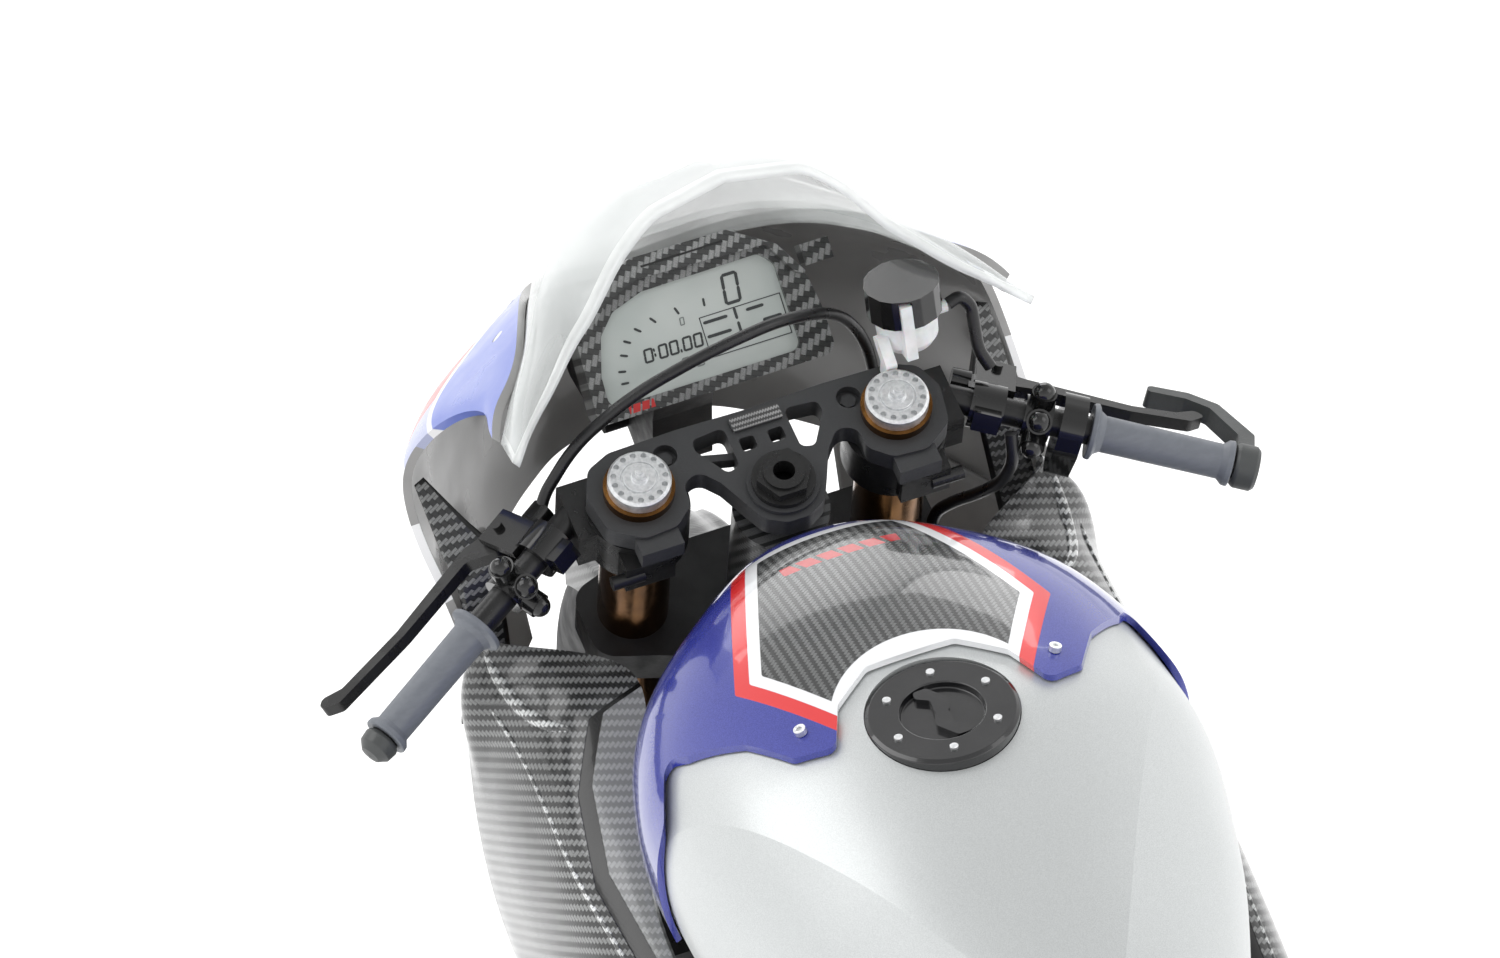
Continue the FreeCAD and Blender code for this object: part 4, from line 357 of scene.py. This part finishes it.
def metal_looks():
    """Castings, machined steel, springs and the bronze fork tubes."""
    cast = Look("cast_alloy", srgb(206, 208, 210), 0.36, 0.85)
    cast.color(cast.mottle(cast.noise(1.6, 4.0), srgb(212, 214, 215), srgb(236, 237, 238)))
    cast.grain(4.0, 0.02, 0.28, 0.42)
    dress(cast, "fork_caps", "trim_screws")
    steel = Look("turned_steel", srgb(190, 192, 194), 0.3, 1.0)
    steel.grain(3.0, 0.02, 0.22, 0.38)
    dress(steel, "front_axle", "rear_axle", "shock_rod", "rear_sprocket", "front_sprocket",
          "drive_motor")
    rotor = Look("brake_steel", srgb(170, 171, 172), 0.28, 1.0)
    rings = rotor.noise(0.9, 3.0, stretch=(0.2, 6.0, 6.0))
    rotor.color(rotor.mottle(rings, srgb(150, 151, 153), srgb(190, 190, 191)))
    rotor.grain(5.0, 0.02, 0.2, 0.36)
    dress(rotor, "front_brake_discs", "rear_brake_disc")
    link = Look("chain_steel", srgb(120, 112, 96), 0.34, 1.0)
    wear = link.ramp(link.noise(0.8, 3.0), 0.35, 0.7)
    link.color(link.mix(wear, srgb(96, 88, 72), srgb(150, 142, 122)))
    link.grain(4.0, 0.03, 0.25, 0.45)
    dress(link, "chain")
    spring = Look("spring_red", srgb(190, 32, 30), 0.3, Coat_Weight=0.4).grain(2.0, 0.02, 0.24, 0.36)
    dress(spring, "shock_spring")
    arm = Look("swingarm_alloy", srgb(150, 152, 155), 0.34, 0.9)
    brushed = arm.noise(0.5, 5.0, stretch=(1, 0.08, 1))
    arm.color(arm.mottle(brushed, srgb(138, 140, 143), srgb(166, 168, 170)))
    arm.grain(3.0, 0.02, 0.28, 0.42)
    dress(arm, "swingarm", "shock_body")
    pipe = Look("exhaust_titanium", srgb(160, 150, 138), 0.26, 1.0)
    heat = pipe.ramp(pipe.sum((-1, pipe.y)), -60, 20)
    pipe.color(pipe.mix(heat, pipe.mix(pipe.noise(0.1, 2.0), srgb(98, 84, 110), srgb(160, 118, 70)),
                        srgb(158, 152, 144)))
    pipe.grain(3.0, 0.02, 0.2, 0.34)
    dress(pipe, "exhaust")
    bronze = Look("fork_bronze", srgb(120, 84, 44), 0.2, 1.0)
    bands = bronze.noise(0.12, 3.0, stretch=(1, 1, 0.4))
    bronze.color(bronze.mottle(bands, srgb(92, 62, 32), srgb(148, 104, 58)))
    bronze.grain(1.2, 0.012, 0.14, 0.26)
    dress(bronze, "fork_outer_tubes")
    tyre = Look("tyre_rubber", (0.016, 0.016, 0.017), 0.7).grain(1.4, 0.05, 0.55, 0.8)
    dress(tyre, "front_tyre", "rear_tyre")


def tank_looks():
    """The silver tank cover, and the blue front cover with its woven inlay."""
    silver = Look("tank_silver", srgb(205, 208, 208), 0.4, 0.5, Coat_Weight=0.4, Coat_Roughness=0.2)
    flakes = silver.ramp(silver.noise(8.0, 1.0), 0.35, 0.65)
    silver.color(silver.mix(flakes, srgb(194, 197, 197), srgb(210, 213, 213)))
    silver.bump(silver.noise(5.0, 2.0), 0.01, 0.6)
    # Two creases run from the widest point in towards the seat, and the metal falls away outside them.
    outside = silver.sum((-0.883, silver.math("ABSOLUTE", silver.x)), (0.468, silver.y),
                         0.883 * 39.6 - 0.468 * 30.6)
    fall = silver.math("POWER", silver.ramp(outside, -22.0, 0.0, smooth=False), 2.0)
    silver.bump(fall, 3.4)
    dress(silver, "fuel_tank_cover")

    cover = Look("cover_paint", srgb(50, 57, 150), 0.22, 0.1, Coat_Weight=1.0, Coat_Roughness=0.04)
    x = cover.math("ABSOLUTE", cover.x)
    front = cover.sum(cover.y, -69.1)
    shoulder = cover.sum((0.9455, x), (0.3255, cover.y), -0.9455 * 12.2 - 0.3255 * 69.1)
    flank = cover.sum((0.8775, x), (-0.48, cover.y), -0.8775 * 14 + 0.48 * 22.7)
    rear = cover.sum((-1, cover.y), 22.7)
    sides = cover.math("SMOOTH_MAX", shoulder, flank, 0.5)
    edge = cover.math("MAXIMUM", cover.math("SMOOTH_MAX", sides, front, 0.5), rear)
    centre_x = cover.math("POWER", x, 2.0)
    centre_y = cover.math("POWER", cover.sum(cover.y, -CAP_CENTRE_Y), 2.0)
    ring = cover.math("SQRT", cover.math("ADD", centre_x, centre_y))
    red = cover.both(cover.within(sides, 0.0, 2.3), cover.below(front, 0.0))
    white = cover.below(edge, 0.0)
    weave_mask = cover.both(cover.below(edge, -1.9), cover.above(ring, 16.4))
    skewed = cover.sum(cover.x, (0.45, cover.y), -27)
    stripe = cover.math("PINGPONG", cover.math("MULTIPLY", skewed, 1 / 3.4), 0.5)
    bars = cover.both(cover.within(cover.y, 58.6, 61.0), cover.below(x, 9.4),
                      cover.above(stripe, 0.12, 0.02))
    weave_color, weave_height = twill(cover, cover.y, cover.x, 0.5, (0.010, 0.011, 0.011),
                                      (0.17, 0.175, 0.175))
    flake = cover.ramp(cover.noise(6.0, 1.0), 0.35, 0.65)
    blue = cover.mix(flake, srgb(44, 51, 142), srgb(60, 68, 166))
    cover.paint(blue, (red, srgb(226, 44, 46)), (white, srgb(244, 245, 247)),
                (weave_mask, weave_color), (cover.both(weave_mask, bars), srgb(190, 34, 38)))
    cover.bump(cover.both(weave_mask, weave_height), 0.02, 0.4)
    cover.bump(cover.both(red, cover.above(sides, 1.0, 1.0)), 0.02, 0.5)
    dress(cover, "tank_front_cover")


def satin_grey(look):
    """The cloudy grey of the fairing's unpainted inside."""
    return look.mottle(look.noise(0.05, 3.0), srgb(140, 139, 138), srgb(156, 155, 154))


def satin_liner():
    """The fairing's grey inside, for the pieces that carry it on."""
    liner = Look("liner_grey", srgb(148, 147, 146), 0.45)
    liner.color(satin_grey(liner))
    return liner.grain(0.7, 0.012, 0.38, 0.52)


def fairing_looks():
    """Paint and carbon of the bodywork; returns the look of the ribs, near-white carbon that is a
    painted highlight, and the look of the liner.
    """
    nose = Look("fairing_paint", srgb(240, 240, 241), 0.3, Coat_Weight=0.4, Coat_Roughness=0.08)
    inward = nose.math("ADD", nose.math("MULTIPLY", nose.nx, nose.x),
                       nose.math("MULTIPLY", nose.ny, nose.sum(nose.y, -90)))
    inside = nose.below(inward, 0.0, 0.02)
    satin = satin_grey(nose)
    rearward = nose.below(nose.y, 146.0)
    blue = nose.both(nose.above(nose.z, 187.4, 0.2), rearward)
    red = nose.both(nose.within(nose.z, 177.5, 186.2, 0.2), nose.within(nose.y, 126.0, 140.0))
    mist = nose.both(nose.within(nose.z, 177.5, 186.2, 0.2), nose.within(nose.y, 118.0, 126.0))
    nose.paint(srgb(240, 240, 241), (mist, srgb(168, 174, 206)), (blue, srgb(92, 112, 196)),
               (red, srgb(228, 60, 62)), (inside, satin))
    nose.grain(0.7, 0.012, 0.26, 0.38)
    dress(nose, "upper_fairing")

    white = Look("tail_white", srgb(240, 240, 241), 0.3, Coat_Weight=0.4, Coat_Roughness=0.08)
    slope = white.sum(white.z, (0.35, white.y))
    tail_blue = white.both(white.within(slope, 114, 122), white.below(white.y, -80))
    tail_red = white.both(white.within(slope, 108, 114), white.below(white.y, -80))
    white.paint(srgb(240, 240, 241), (tail_blue, srgb(56, 66, 160)), (tail_red, srgb(222, 46, 48)))
    white.grain(0.7, 0.012, 0.24, 0.36)
    dress(white, "tail_cowl")
    dress(carbon("fender_carbon", 0.6, knee_lay, light=0.16, rough=0.3), "front_fender")
    side = carbon("side_carbon", 0.57, panel_lay, coat=0.55)
    woven = side.shader.inputs["Base Color"].links[0].from_socket
    x = side.math("ABSOLUTE", side.x)
    edge = side.sum((-3.2, side.y), 28 + 3.2 * 81)
    for slope, at_y, at_x in ((0.656, 78, 37.6), (0.222, 69, 43.5), (-0.084, 45, 45.4)):
        edge = side.math("MINIMUM", edge, side.sum((-slope, side.y), at_x + slope * at_y))
    inset = side.sum(edge, (-1, x))
    top = side.both(side.above(side.nz, 0.25, 0.02), side.below(side.y, 82.0))
    # The near-black band along the inner edge of each panel's top face is painted shadow: the shade of
    # the gap between panel and tank, pressed in a little by a bump.
    shadow_gap = side.both(top, side.within(inset, 0.0, 2.4, 0.1))
    # The paler carbon inside that band is a painted highlight: the gloss that the knee area of the
    # panel catches.
    knee_highlight = side.both(top, side.above(inset, 2.4, 0.1))
    side.paint(woven, (shadow_gap, (0.003, 0.003, 0.003)),
               (knee_highlight, side.mix(0.3, woven, (0.62, 0.63, 0.63))))
    side.bump(shadow_gap, -0.5)
    dress(side, "side_fairings", "belly_pan")
    dress(carbon("knee_carbon", 0.8, knee_lay, light=0.4, rough=0.3), "frame_covers")
    dress(carbon("frame_carbon", 0.6, knee_lay, light=0.12, rough=0.35, coat=0.2), "main_frame")
    # The ribs' carbon is the side panels' weave made almost white: a painted highlight along the crease
    # and the scoop's lip.
    return carbon("rib_carbon_highlight", 0.57, panel_lay, light=0.95, coat=0.6), satin_liner()


def dash_looks():
    """The dash housing with its badge, the display and the reservoir."""
    housing = carbon("dash_carbon", 0.85, dash_lay, light=0.36, rough=0.3, coat=0.3)
    x, y, z = housing.in_frame(DASH)
    stripe = housing.math("PINGPONG", housing.sum((1 / 1.5, x), (-0.2, y)), 0.5)
    badge = housing.both(housing.within(x, -13.6, -9.4), housing.within(y, -9.3, -8.0),
                         housing.above(z, 0.3), housing.above(stripe, 0.1, 0.03))
    groove = housing.both(housing.within(y, 11.7, 12.0), housing.within(x, -5.5, 8.0))
    woven = housing.shader.inputs["Base Color"].links[0].from_socket
    housing.paint(woven, (badge, srgb(212, 34, 34)), (groove, (0.01, 0.01, 0.01)))
    housing.bump(groove, -0.2)
    dress(housing, "dash_housing")
    lcd = Look("display", srgb(205, 212, 208), 0.3, Coat_Weight=0.4, Coat_Roughness=0.05)
    lcd.color(lcd.mottle(lcd.noise(0.09, 2.0), srgb(196, 204, 200), srgb(208, 214, 210)))
    lcd.bump(lcd.noise(5.0, 2.0), 0.006, 0.5)
    dress(lcd, "dash_display")
    milk = Look("reservoir_white", srgb(232, 234, 233), 0.45, Subsurface_Weight=0.3,
                Subsurface_Scale=0.002)
    milk.color(milk.mottle(milk.noise(0.3, 3.0), srgb(222, 224, 224), srgb(240, 241, 241)))
    milk.grain(1.4, 0.05, 0.38, 0.55)
    dress(milk, "fluid_reservoir")


# ---------------------------------------------------------------- pieces

def piece(name, points, faces, looks, body="chassis", smooth=True, place=WORLD):
    """A mesh from points in millimetres in a frame of the object, riding on a body."""
    mesh = bpy.data.meshes.new(name)
    mesh.from_pydata([place @ (Vector(p) * MM) for p in points], [], faces)
    mesh.validate()
    for look in looks:
        mesh.materials.append(look.material)
    mesh.polygons.foreach_set("use_smooth", [smooth] * len(mesh.polygons))
    item = bpy.data.objects.new(name, mesh)
    bpy.context.scene.collection.objects.link(item)
    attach(item, body)
    return item


def screen_point(u, v):
    """A point of the screen's outer face: u runs from -1, left, to 1, right, v from base to top."""
    side = -1 if u < 0 else 1
    ends = [Vector((side * spline(c[0], abs(u)), spline(c[1], abs(u)), spline(c[2], abs(u))))
            for c in (SCREEN_BASE, SCREEN_TOP)]
    low = ends[0]
    bulge = SCREEN_BULGE * 4 * v * (1 - v) * (1 - abs(u) ** 2.2)
    return low + (ends[1] - low) * (0.03 + 0.97 * v) + SCREEN_LEAN * bulge


def build_screen():
    """The clear screen: a curved sheet with a rounded, frosted edge."""
    clear = Look("screen_clear", srgb(238, 242, 241), 0.06, Coat_Weight=0.6, Coat_Roughness=0.03)
    facing = clear.add("ShaderNodeLayerWeight", 0.35).outputs["Facing"]
    haze = clear.ramp(clear.noise(0.03, 3.0), 0.3, 0.7, 0.0, 0.05)
    clear.join(clear.math("ADD", clear.ramp(facing, 0.0, 0.9, 0.10, 0.62, smooth=False), haze),
               clear.shader.inputs["Alpha"])
    clear.bump(clear.noise(0.08, 2.0), 0.08, 0.5)
    frost = Look("screen_frost", srgb(246, 249, 248), 0.22, Coat_Weight=0.5, Coat_Roughness=0.08)
    frost.join(frost.ramp(frost.noise(0.12, 2.0), 0.3, 0.7, 0.55, 0.7), frost.shader.inputs["Alpha"])
    frost.bump(frost.noise(0.2, 2.0), 0.03)
    across, up = 96, 30
    outer, inner, centre = [], [], Vector((0, 60, 150))
    for i in range(up + 1):
        v = i / up
        for j in range(across + 1):
            u = -1 + 2 * j / across
            here = screen_point(u, v)
            along = screen_point(min(u + 0.01, 1), v) - screen_point(max(u - 0.01, -1), v)
            rise = screen_point(u, min(v + 0.01, 1)) - screen_point(u, max(v - 0.01, 0))
            normal = along.cross(rise).normalized()
            if normal.dot(here - centre) < 0:
                normal = -normal
            outer.append(here - normal * 0.05)
            inner.append(here - normal * (SCREEN_THICKNESS - 0.05))
    width = across + 1
    count = len(outer)
    faces, frosted = [], []
    for i in range(up):
        for j in range(across):
            a, b, c, d = i * width + j, i * width + j + 1, (i + 1) * width + j + 1, (i + 1) * width + j
            rim = i >= up - 1 or j < 1 or j >= across - 1 or i < 3
            faces += [(a, b, c, d), (count + d, count + c, count + b, count + a)]
            frosted += [rim, rim]
    loop = list(range(width))
    loop += [i * width + across for i in range(1, up + 1)]
    loop += [up * width + j for j in range(across - 1, -1, -1)]
    loop += [i * width for i in range(up - 1, 0, -1)]
    for a, b in zip(loop, loop[1:] + loop[:1]):
        faces.append((b, a, count + a, count + b))
        frosted.append(True)
    item = piece("screen_sheet", outer + inner, faces, [clear, frost])
    item.data.polygons.foreach_set("material_index", [int(value) for value in frosted])
    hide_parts("windscreen")


def build_seat():
    """The rider's pad: a crowned cushion with a rolled rim and two sewn channels."""
    cloth = Look("seat_suede", (0.016, 0.016, 0.018), 0.8, Sheen_Weight=0.3, Sheen_Roughness=0.4)
    nap = cloth.noise(2.2, 4.0, 0.7)
    cloth.color(cloth.mix(cloth.ramp(nap, 0.3, 0.7), (0.010, 0.010, 0.011), (0.030, 0.030, 0.033)))
    cloth.rough(cloth.ramp(cloth.noise(0.3, 2.0), 0.3, 0.7, 0.7, 0.9))
    cloth.bump(nap, 0.12)
    stations, around = 40, 48
    points, faces = [], []
    for k in range(stations + 1):
        t = k / stations
        y = SEAT[0][0] + (SEAT[-1][0] - SEAT[0][0]) * t
        half = spline([(s[0], s[1]) for s in SEAT], y)
        top = spline([(s[0], s[2]) for s in SEAT], y)
        close = max(1 - abs(2 * t - 1) ** 7, 0.0) ** (1 / 2.4)
        for i in range(around):
            angle = 2 * math.pi * i / around
            cx, cz = math.cos(angle), math.sin(angle)
            x = half * (0.9 + 0.1 * close) * math.copysign(abs(cx) ** 0.62, cx) * (0.35 + 0.65 * close)
            height = 2.2 * math.copysign(abs(cz) ** 0.55, cz) * (close if cz > 0 else 1)
            channel = 0.55 * math.exp(-((abs(x) - half * 0.6) / 0.55) ** 2) if cz > 0 else 0.0
            crown = 0.5 * (1 - (x / half) ** 2) * close if cz > 0 else 0.0
            points.append((x, y, top - 2.3 + height + crown - channel))
    for k in range(stations):
        for i in range(around):
            a, b = k * around + i, k * around + (i + 1) % around
            faces.append((a, b, b + around, a + around))
    faces += [tuple(range(around))[::-1], tuple(range(stations * around, (stations + 1) * around))]
    item = piece("seat_cushion", points, faces, [cloth])
    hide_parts("seat_pad")


def swept(name, route, look, body, radius, height, count=40, ring=12, sink=0.25):
    """A raised rib along a route, tapered to nothing at both ends."""
    knots = [i / (len(route) - 1) for i in range(len(route))]
    curve = [[(k, p[axis]) for k, p in zip(knots, route)] for axis in range(3)]
    line = [Vector([spline(c, i / count) for c in curve]) for i in range(count + 1)]
    points, faces = [], []
    for i, here in enumerate(line):
        ahead = (line[min(i + 1, count)] - line[max(i - 1, 0)]).normalized()
        out = Vector((math.copysign(0.45, here.x), 0, 1))
        out = (out - ahead * out.dot(ahead)).normalized()
        side = ahead.cross(out)
        taper = math.sqrt(max(1 - abs(2 * i / count - 1) ** 3, 0.02))
        for j in range(ring):
            angle = 2 * math.pi * j / ring
            points.append(here + side * (radius * taper * math.cos(angle))
                          + out * (height * taper * math.sin(angle) - sink))
    for i in range(count):
        for j in range(ring):
            a, b = i * ring + j, i * ring + (j + 1) % ring
            faces.append((a, b, b + ring, a + ring))
    faces += [tuple(range(ring))[::-1], tuple(range(count * ring, (count + 1) * ring))]
    return piece(name, points, faces, [look], body)


def build_panel_ribs(look):
    """The bead along each side panel's crease and the curled lip of its air scoop, in near-white
    carbon: a painted highlight along both edges.
    """
    panel = NODES["side_fairings"]
    for side, tag in SIDES:
        bead = [(side * x, y + (z - PANEL_SWEEP_LEVEL) * PANEL_SWEEP, z) for y, x, z in PANEL_CREASE]
        swept(f"crease_bead_{tag}", bead, look, "chassis", 0.5, 0.5)
        lip = []
        for x, y in SCOOP_LIP:
            hit, spot, _, _ = panel.ray_cast(Vector((side * x, y, 190)) * MM, Vector((0, 0, -1)))
            if hit:
                lip.append(spot / MM)
        if len(lip) > 2:
            swept(f"scoop_lip_{tag}", lip, look, "chassis", 1.1, 1.0)


# The fairing's rear edge from its rim down as (x, y, z), and its lowest line as (x, y).
FAIRING_REAR = [(47.6, 122.6, 174.0), (47.3, 115.5, 167.5), (46.6, 109.6, 160.8),
                (47.0, 107.4, 150.0), (47.6, 106.4, 139.4), (47.4, 105.6, 130.0)]
FAIRING_FOOT = [(28, 150.6), (31, 146.4), (36, 138.8), (41, 129.6), (44.6, 120), (46.6, 110)]
FOOT_TOP = 141.0
FOOT_DROP = 21.0
FLANGE_WIDTH = 6.8
FLANGE_GRID = (33, 9)
FOOT_GRID = (9, 29)


def read_route(route, t):
    """A point of a route at t from 0 to 1."""
    steps = len(route) - 1
    return Vector([spline([(i / steps, p[axis]) for i, p in enumerate(route)], t)
                   for axis in range(len(route[0]))])


def sheet_faces(rows, columns):
    """Quads over a grid of this many rows and columns of points."""
    return [(i * columns + j, i * columns + j + 1, (i + 1) * columns + j + 1, (i + 1) * columns + j)
            for i in range(rows - 1) for j in range(columns - 1)]


def thicken(item, depth):
    """Give a sheet a depth in millimetres, half to each side."""
    solid = item.modifiers.new("thickness", "SOLIDIFY")
    solid.thickness = depth * MM
    solid.offset = 0.0
    return item


def build_fairing_edges(liner):
    """The woven flange round each rear edge of the fairing, its black seam, and the liner below."""
    cloth = carbon("flange_carbon", 0.57, lining_lay, light=0.34)
    seam = Look("seam_black", (0.004, 0.004, 0.004), 0.4).grain(2.0, 0.02, 0.3, 0.45)
    along, across = FLANGE_GRID
    rows, columns = FOOT_GRID
    for side, tag in SIDES:
        points = []
        for i in range(along):
            t = i / (along - 1)
            edge = read_route(FAIRING_REAR, t)
            width = FLANGE_WIDTH * min(1.0, 0.25 + 2.6 * t)
            for j in range(across):
                inward = width * j / (across - 1)
                points.append((side * (edge.x - inward), edge.y + 0.25 * inward,
                               edge.z + 0.35 * inward))
        faces = sheet_faces(along, across)
        item = piece(f"fairing_flange_{tag}", points, faces, [cloth, seam])
        strips = [int(k % (across - 1) == across - 2) for k in range(len(faces))]
        item.data.polygons.foreach_set("material_index", strips)
        thicken(item, 0.7)
        foot = []
        for i in range(rows):
            for j in range(columns):
                spot = read_route(FAIRING_FOOT, j / (columns - 1))
                fall = i / (rows - 1)
                foot.append((side * (spot.x - 0.8 * fall), spot.y - 3.0 * fall,
                             FOOT_TOP - FOOT_DROP * fall))
        thicken(piece(f"fairing_liner_{tag}", foot, sheet_faces(rows, columns), [liner]), 0.8)


# A nought's strokes as (start, end) in its own box: top, bottom, then left and right, high and low.
SEGMENTS = [((0.12, 1), (0.88, 1)), ((0.12, 0), (0.88, 0)), ((0, 0.56), (0, 0.94)),
            ((1, 0.56), (1, 0.94)), ((0, 0.06), (0, 0.44)), ((1, 0.06), (1, 0.44))]
NOUGHT_LEAN = 0.12
# The marks on the display, in millimetres in the dash's frame.
COLONS = [(-6.85, -1.9, -6.85, -1.65, 0.3), (-6.85, -1.1, -6.85, -0.85, 0.3),
          (-2.7, -2.5, -2.7, -2.25, 0.3)]
TABLE_EDGES = [(1.5, 1.6, 14.8, 1.6), (1.5, -4.8, 1.5, 1.6), (14.8, -4.8, 14.8, 1.6),
               (1.5, -4.8, 14.8, -4.8)]
SCALE_TICKS = [(-12.3, -4.6), (-12.2, -2.8), (-11.2, -0.6), (-10.1, 1.2), (-8, 2.4), (-5.3, 3.1),
               (-1.4, 3.3), (2.9, 3.3)]
MARK_LEVELS = (-0.22, -0.14)


def zero(x, y, height, width, line):
    """The six lit segments of a nought, leaning a little."""
    strokes = []
    for (x0, y0), (x1, y1) in SEGMENTS:
        strokes.append((x + x0 * width + NOUGHT_LEAN * y0 * height, y + y0 * height,
                        x + x1 * width + NOUGHT_LEAN * y1 * height, y + y1 * height, line))
    return strokes


def build_dash_marks():
    """Noughts, scale ticks and the frame of the small table on the display."""
    ink = Look("display_ink", srgb(52, 56, 56), 0.4)
    ink.color(ink.mix(ink.noise(1.5, 2.0), srgb(44, 48, 48), srgb(74, 78, 78)))
    pale = Look("display_ink_pale", srgb(128, 134, 132), 0.4)
    pale.color(pale.mix(pale.noise(1.5, 2.0), srgb(118, 124, 122), srgb(140, 146, 143)))
    strokes = zero(6.3, 2.4, 4.4, 2.3, 0.5)
    for x in (-8.6, -6.2, -4.4, -2.2, -0.4):
        strokes += zero(x, -2.5, 1.9, 1.2, 0.34)
    strokes += COLONS
    strokes += [(*edge, 0.16) for edge in TABLE_EDGES]
    for y, ends in ((0.65, (2.1, 5.6)), (-1.6, (2.1, 5.6)), (-1.6, (11.3, 13.9)), (0.65, (9.2, 11.6))):
        strokes.append((ends[0], y, ends[1], y, 0.5))
    for x, y in ((7.2, 0.65), (7.2, -1.6)):
        strokes.append((x, y - 0.7, x, y + 0.7, 0.45))
    for x, y in SCALE_TICKS:
        lean = math.atan2(y + 6, x - 2)
        strokes.append((x, y, x + 0.9 * math.cos(lean), y + 0.9 * math.sin(lean), 0.38))
    soft = zero(-3.2, -5.4, 1.8, 1.1, 0.26) + zero(-1.0, -5.4, 1.8, 1.1, 0.26)
    soft += zero(-1.6, 1.4, 1.1, 0.6, 0.18)
    soft.append((2.1, -3.9, 5.8, -3.9, 0.5))
    for name, group, look in (("display_marks", strokes, ink), ("display_marks_pale", soft, pale)):
        points, faces = [], []
        for x0, y0, x1, y1, line in group:
            ahead = Vector((x1 - x0, y1 - y0, 0)).normalized() * 0.5 * line
            across = Vector((-ahead.y, ahead.x, 0))
            a, b = Vector((x0, y0, 0)), Vector((x1, y1, 0))
            flat = [a - ahead - across * 0.5, a - across, b - across, b + ahead - across * 0.5,
                    b + ahead + across * 0.5, b + across, a + across, a - ahead + across * 0.5]
            start = len(points)
            size = len(flat)
            for z in MARK_LEVELS:
                points += [p + Vector((0, 0, z)) for p in flat]
            faces.append(tuple(range(start + size, start + 2 * size)))
            faces.append(tuple(range(start, start + size))[::-1])
            for k in range(size):
                after = (k + 1) % size
                faces.append((start + k, start + after, start + size + after, start + size + k))
        piece(name, points, faces, [look], smooth=False, place=DASH)


# ---------------------------------------------------------------- studio and camera

def area_light(name, place, target, size, power):
    """A white rectangular light aimed at a point."""
    data = bpy.data.lights.new(name, "AREA")
    data.shape = "RECTANGLE"
    data.size, data.size_y = size
    data.energy = power
    lamp = bpy.data.objects.new(name, data)
    bpy.context.scene.collection.objects.link(lamp)
    lamp.location = place
    lamp.rotation_euler = (Vector(target) - Vector(place)).to_track_quat("-Z", "Y").to_euler()


# How the tent dims from low to high in the sky: two heights, then the strength at each.
TENT_FALLOFF = (0.15, 0.95, 1.25, 0.6)
FLOOR_SPAN = 6.0


def build_studio():
    """A white tent: bright round the horizon, dimmer overhead, on a white floor."""
    world = bpy.data.worlds.new("studio")
    world.use_nodes = True
    tree = world.node_tree
    background = tree.nodes["Background"]
    direction = tree.nodes.new("ShaderNodeTexCoord").outputs["Generated"]
    split = tree.nodes.new("ShaderNodeSeparateXYZ")
    tree.links.new(direction, split.inputs[0])
    falloff = tree.nodes.new("ShaderNodeMapRange")
    for socket, value in zip(falloff.inputs[1:5], TENT_FALLOFF):
        socket.default_value = value
    tree.links.new(split.outputs[2], falloff.inputs[0])
    tree.links.new(falloff.outputs[0], background.inputs["Strength"])
    background.inputs["Color"].default_value = (1, 1, 1, 1)
    bpy.context.scene.world = world
    mesh = bpy.data.meshes.new("floor")
    corners = [(x * FLOOR_SPAN, y * FLOOR_SPAN, 0) for x, y in ((-1, -1), (1, -1), (1, 1), (-1, 1))]
    mesh.from_pydata(corners, [], [(0, 1, 2, 3)])
    floor = bpy.data.objects.new("floor", mesh)
    bpy.context.scene.collection.objects.link(floor)
    pale = Look("floor_white", (0.93, 0.93, 0.93), 0.8, Emission_Color=(1, 1, 1, 1),
                Emission_Strength=0.22)
    mesh.materials.append(pale.material)
    area_light("key", (-0.9, 0.5, 1.5), (0, 0.05, 0.12), (1.2, 1.2), 9)
    area_light("fill", (1.0, -0.6, 1.0), (0, 0.05, 0.12), (0.9, 0.9), 3)
    area_light("back", (0.3, 1.5, 0.9), (0, 0.05, 0.15), (1.4, 0.6), 6)
    bpy.context.scene.view_settings.view_transform = "Standard"


# Where the camera stands and how it is turned.
CAMERA_AT = Vector((-0.35326, -1.15932, 1.11668))
CAMERA_RIGHT = Vector((0.92929, -0.34954, -0.11931))
CAMERA_UP = Vector((0.29777, 0.51793, 0.80193))
LENS_MM = 253.0


def build_camera():
    """The scene's camera: a long lens behind and above the rider's seat."""
    data = bpy.data.cameras.new("camera")
    data.lens = LENS_MM
    data.sensor_width = 36
    data.clip_start = 0.05
    camera = bpy.data.objects.new("camera", data)
    bpy.context.scene.collection.objects.link(camera)
    back = CAMERA_RIGHT.cross(CAMERA_UP)
    turn = Matrix((CAMERA_RIGHT, CAMERA_UP, back)).transposed()
    camera.matrix_world = Matrix.Translation(CAMERA_AT) @ turn.to_4x4()
    bpy.context.scene.camera = camera


build_camera()
plain_looks()
metal_looks()
tank_looks()
rib_highlight_look, liner_look = fairing_looks()
dash_looks()
build_screen()
build_seat()
build_panel_ribs(rib_highlight_look)
build_fairing_edges(liner_look)
build_dash_marks()
build_studio()
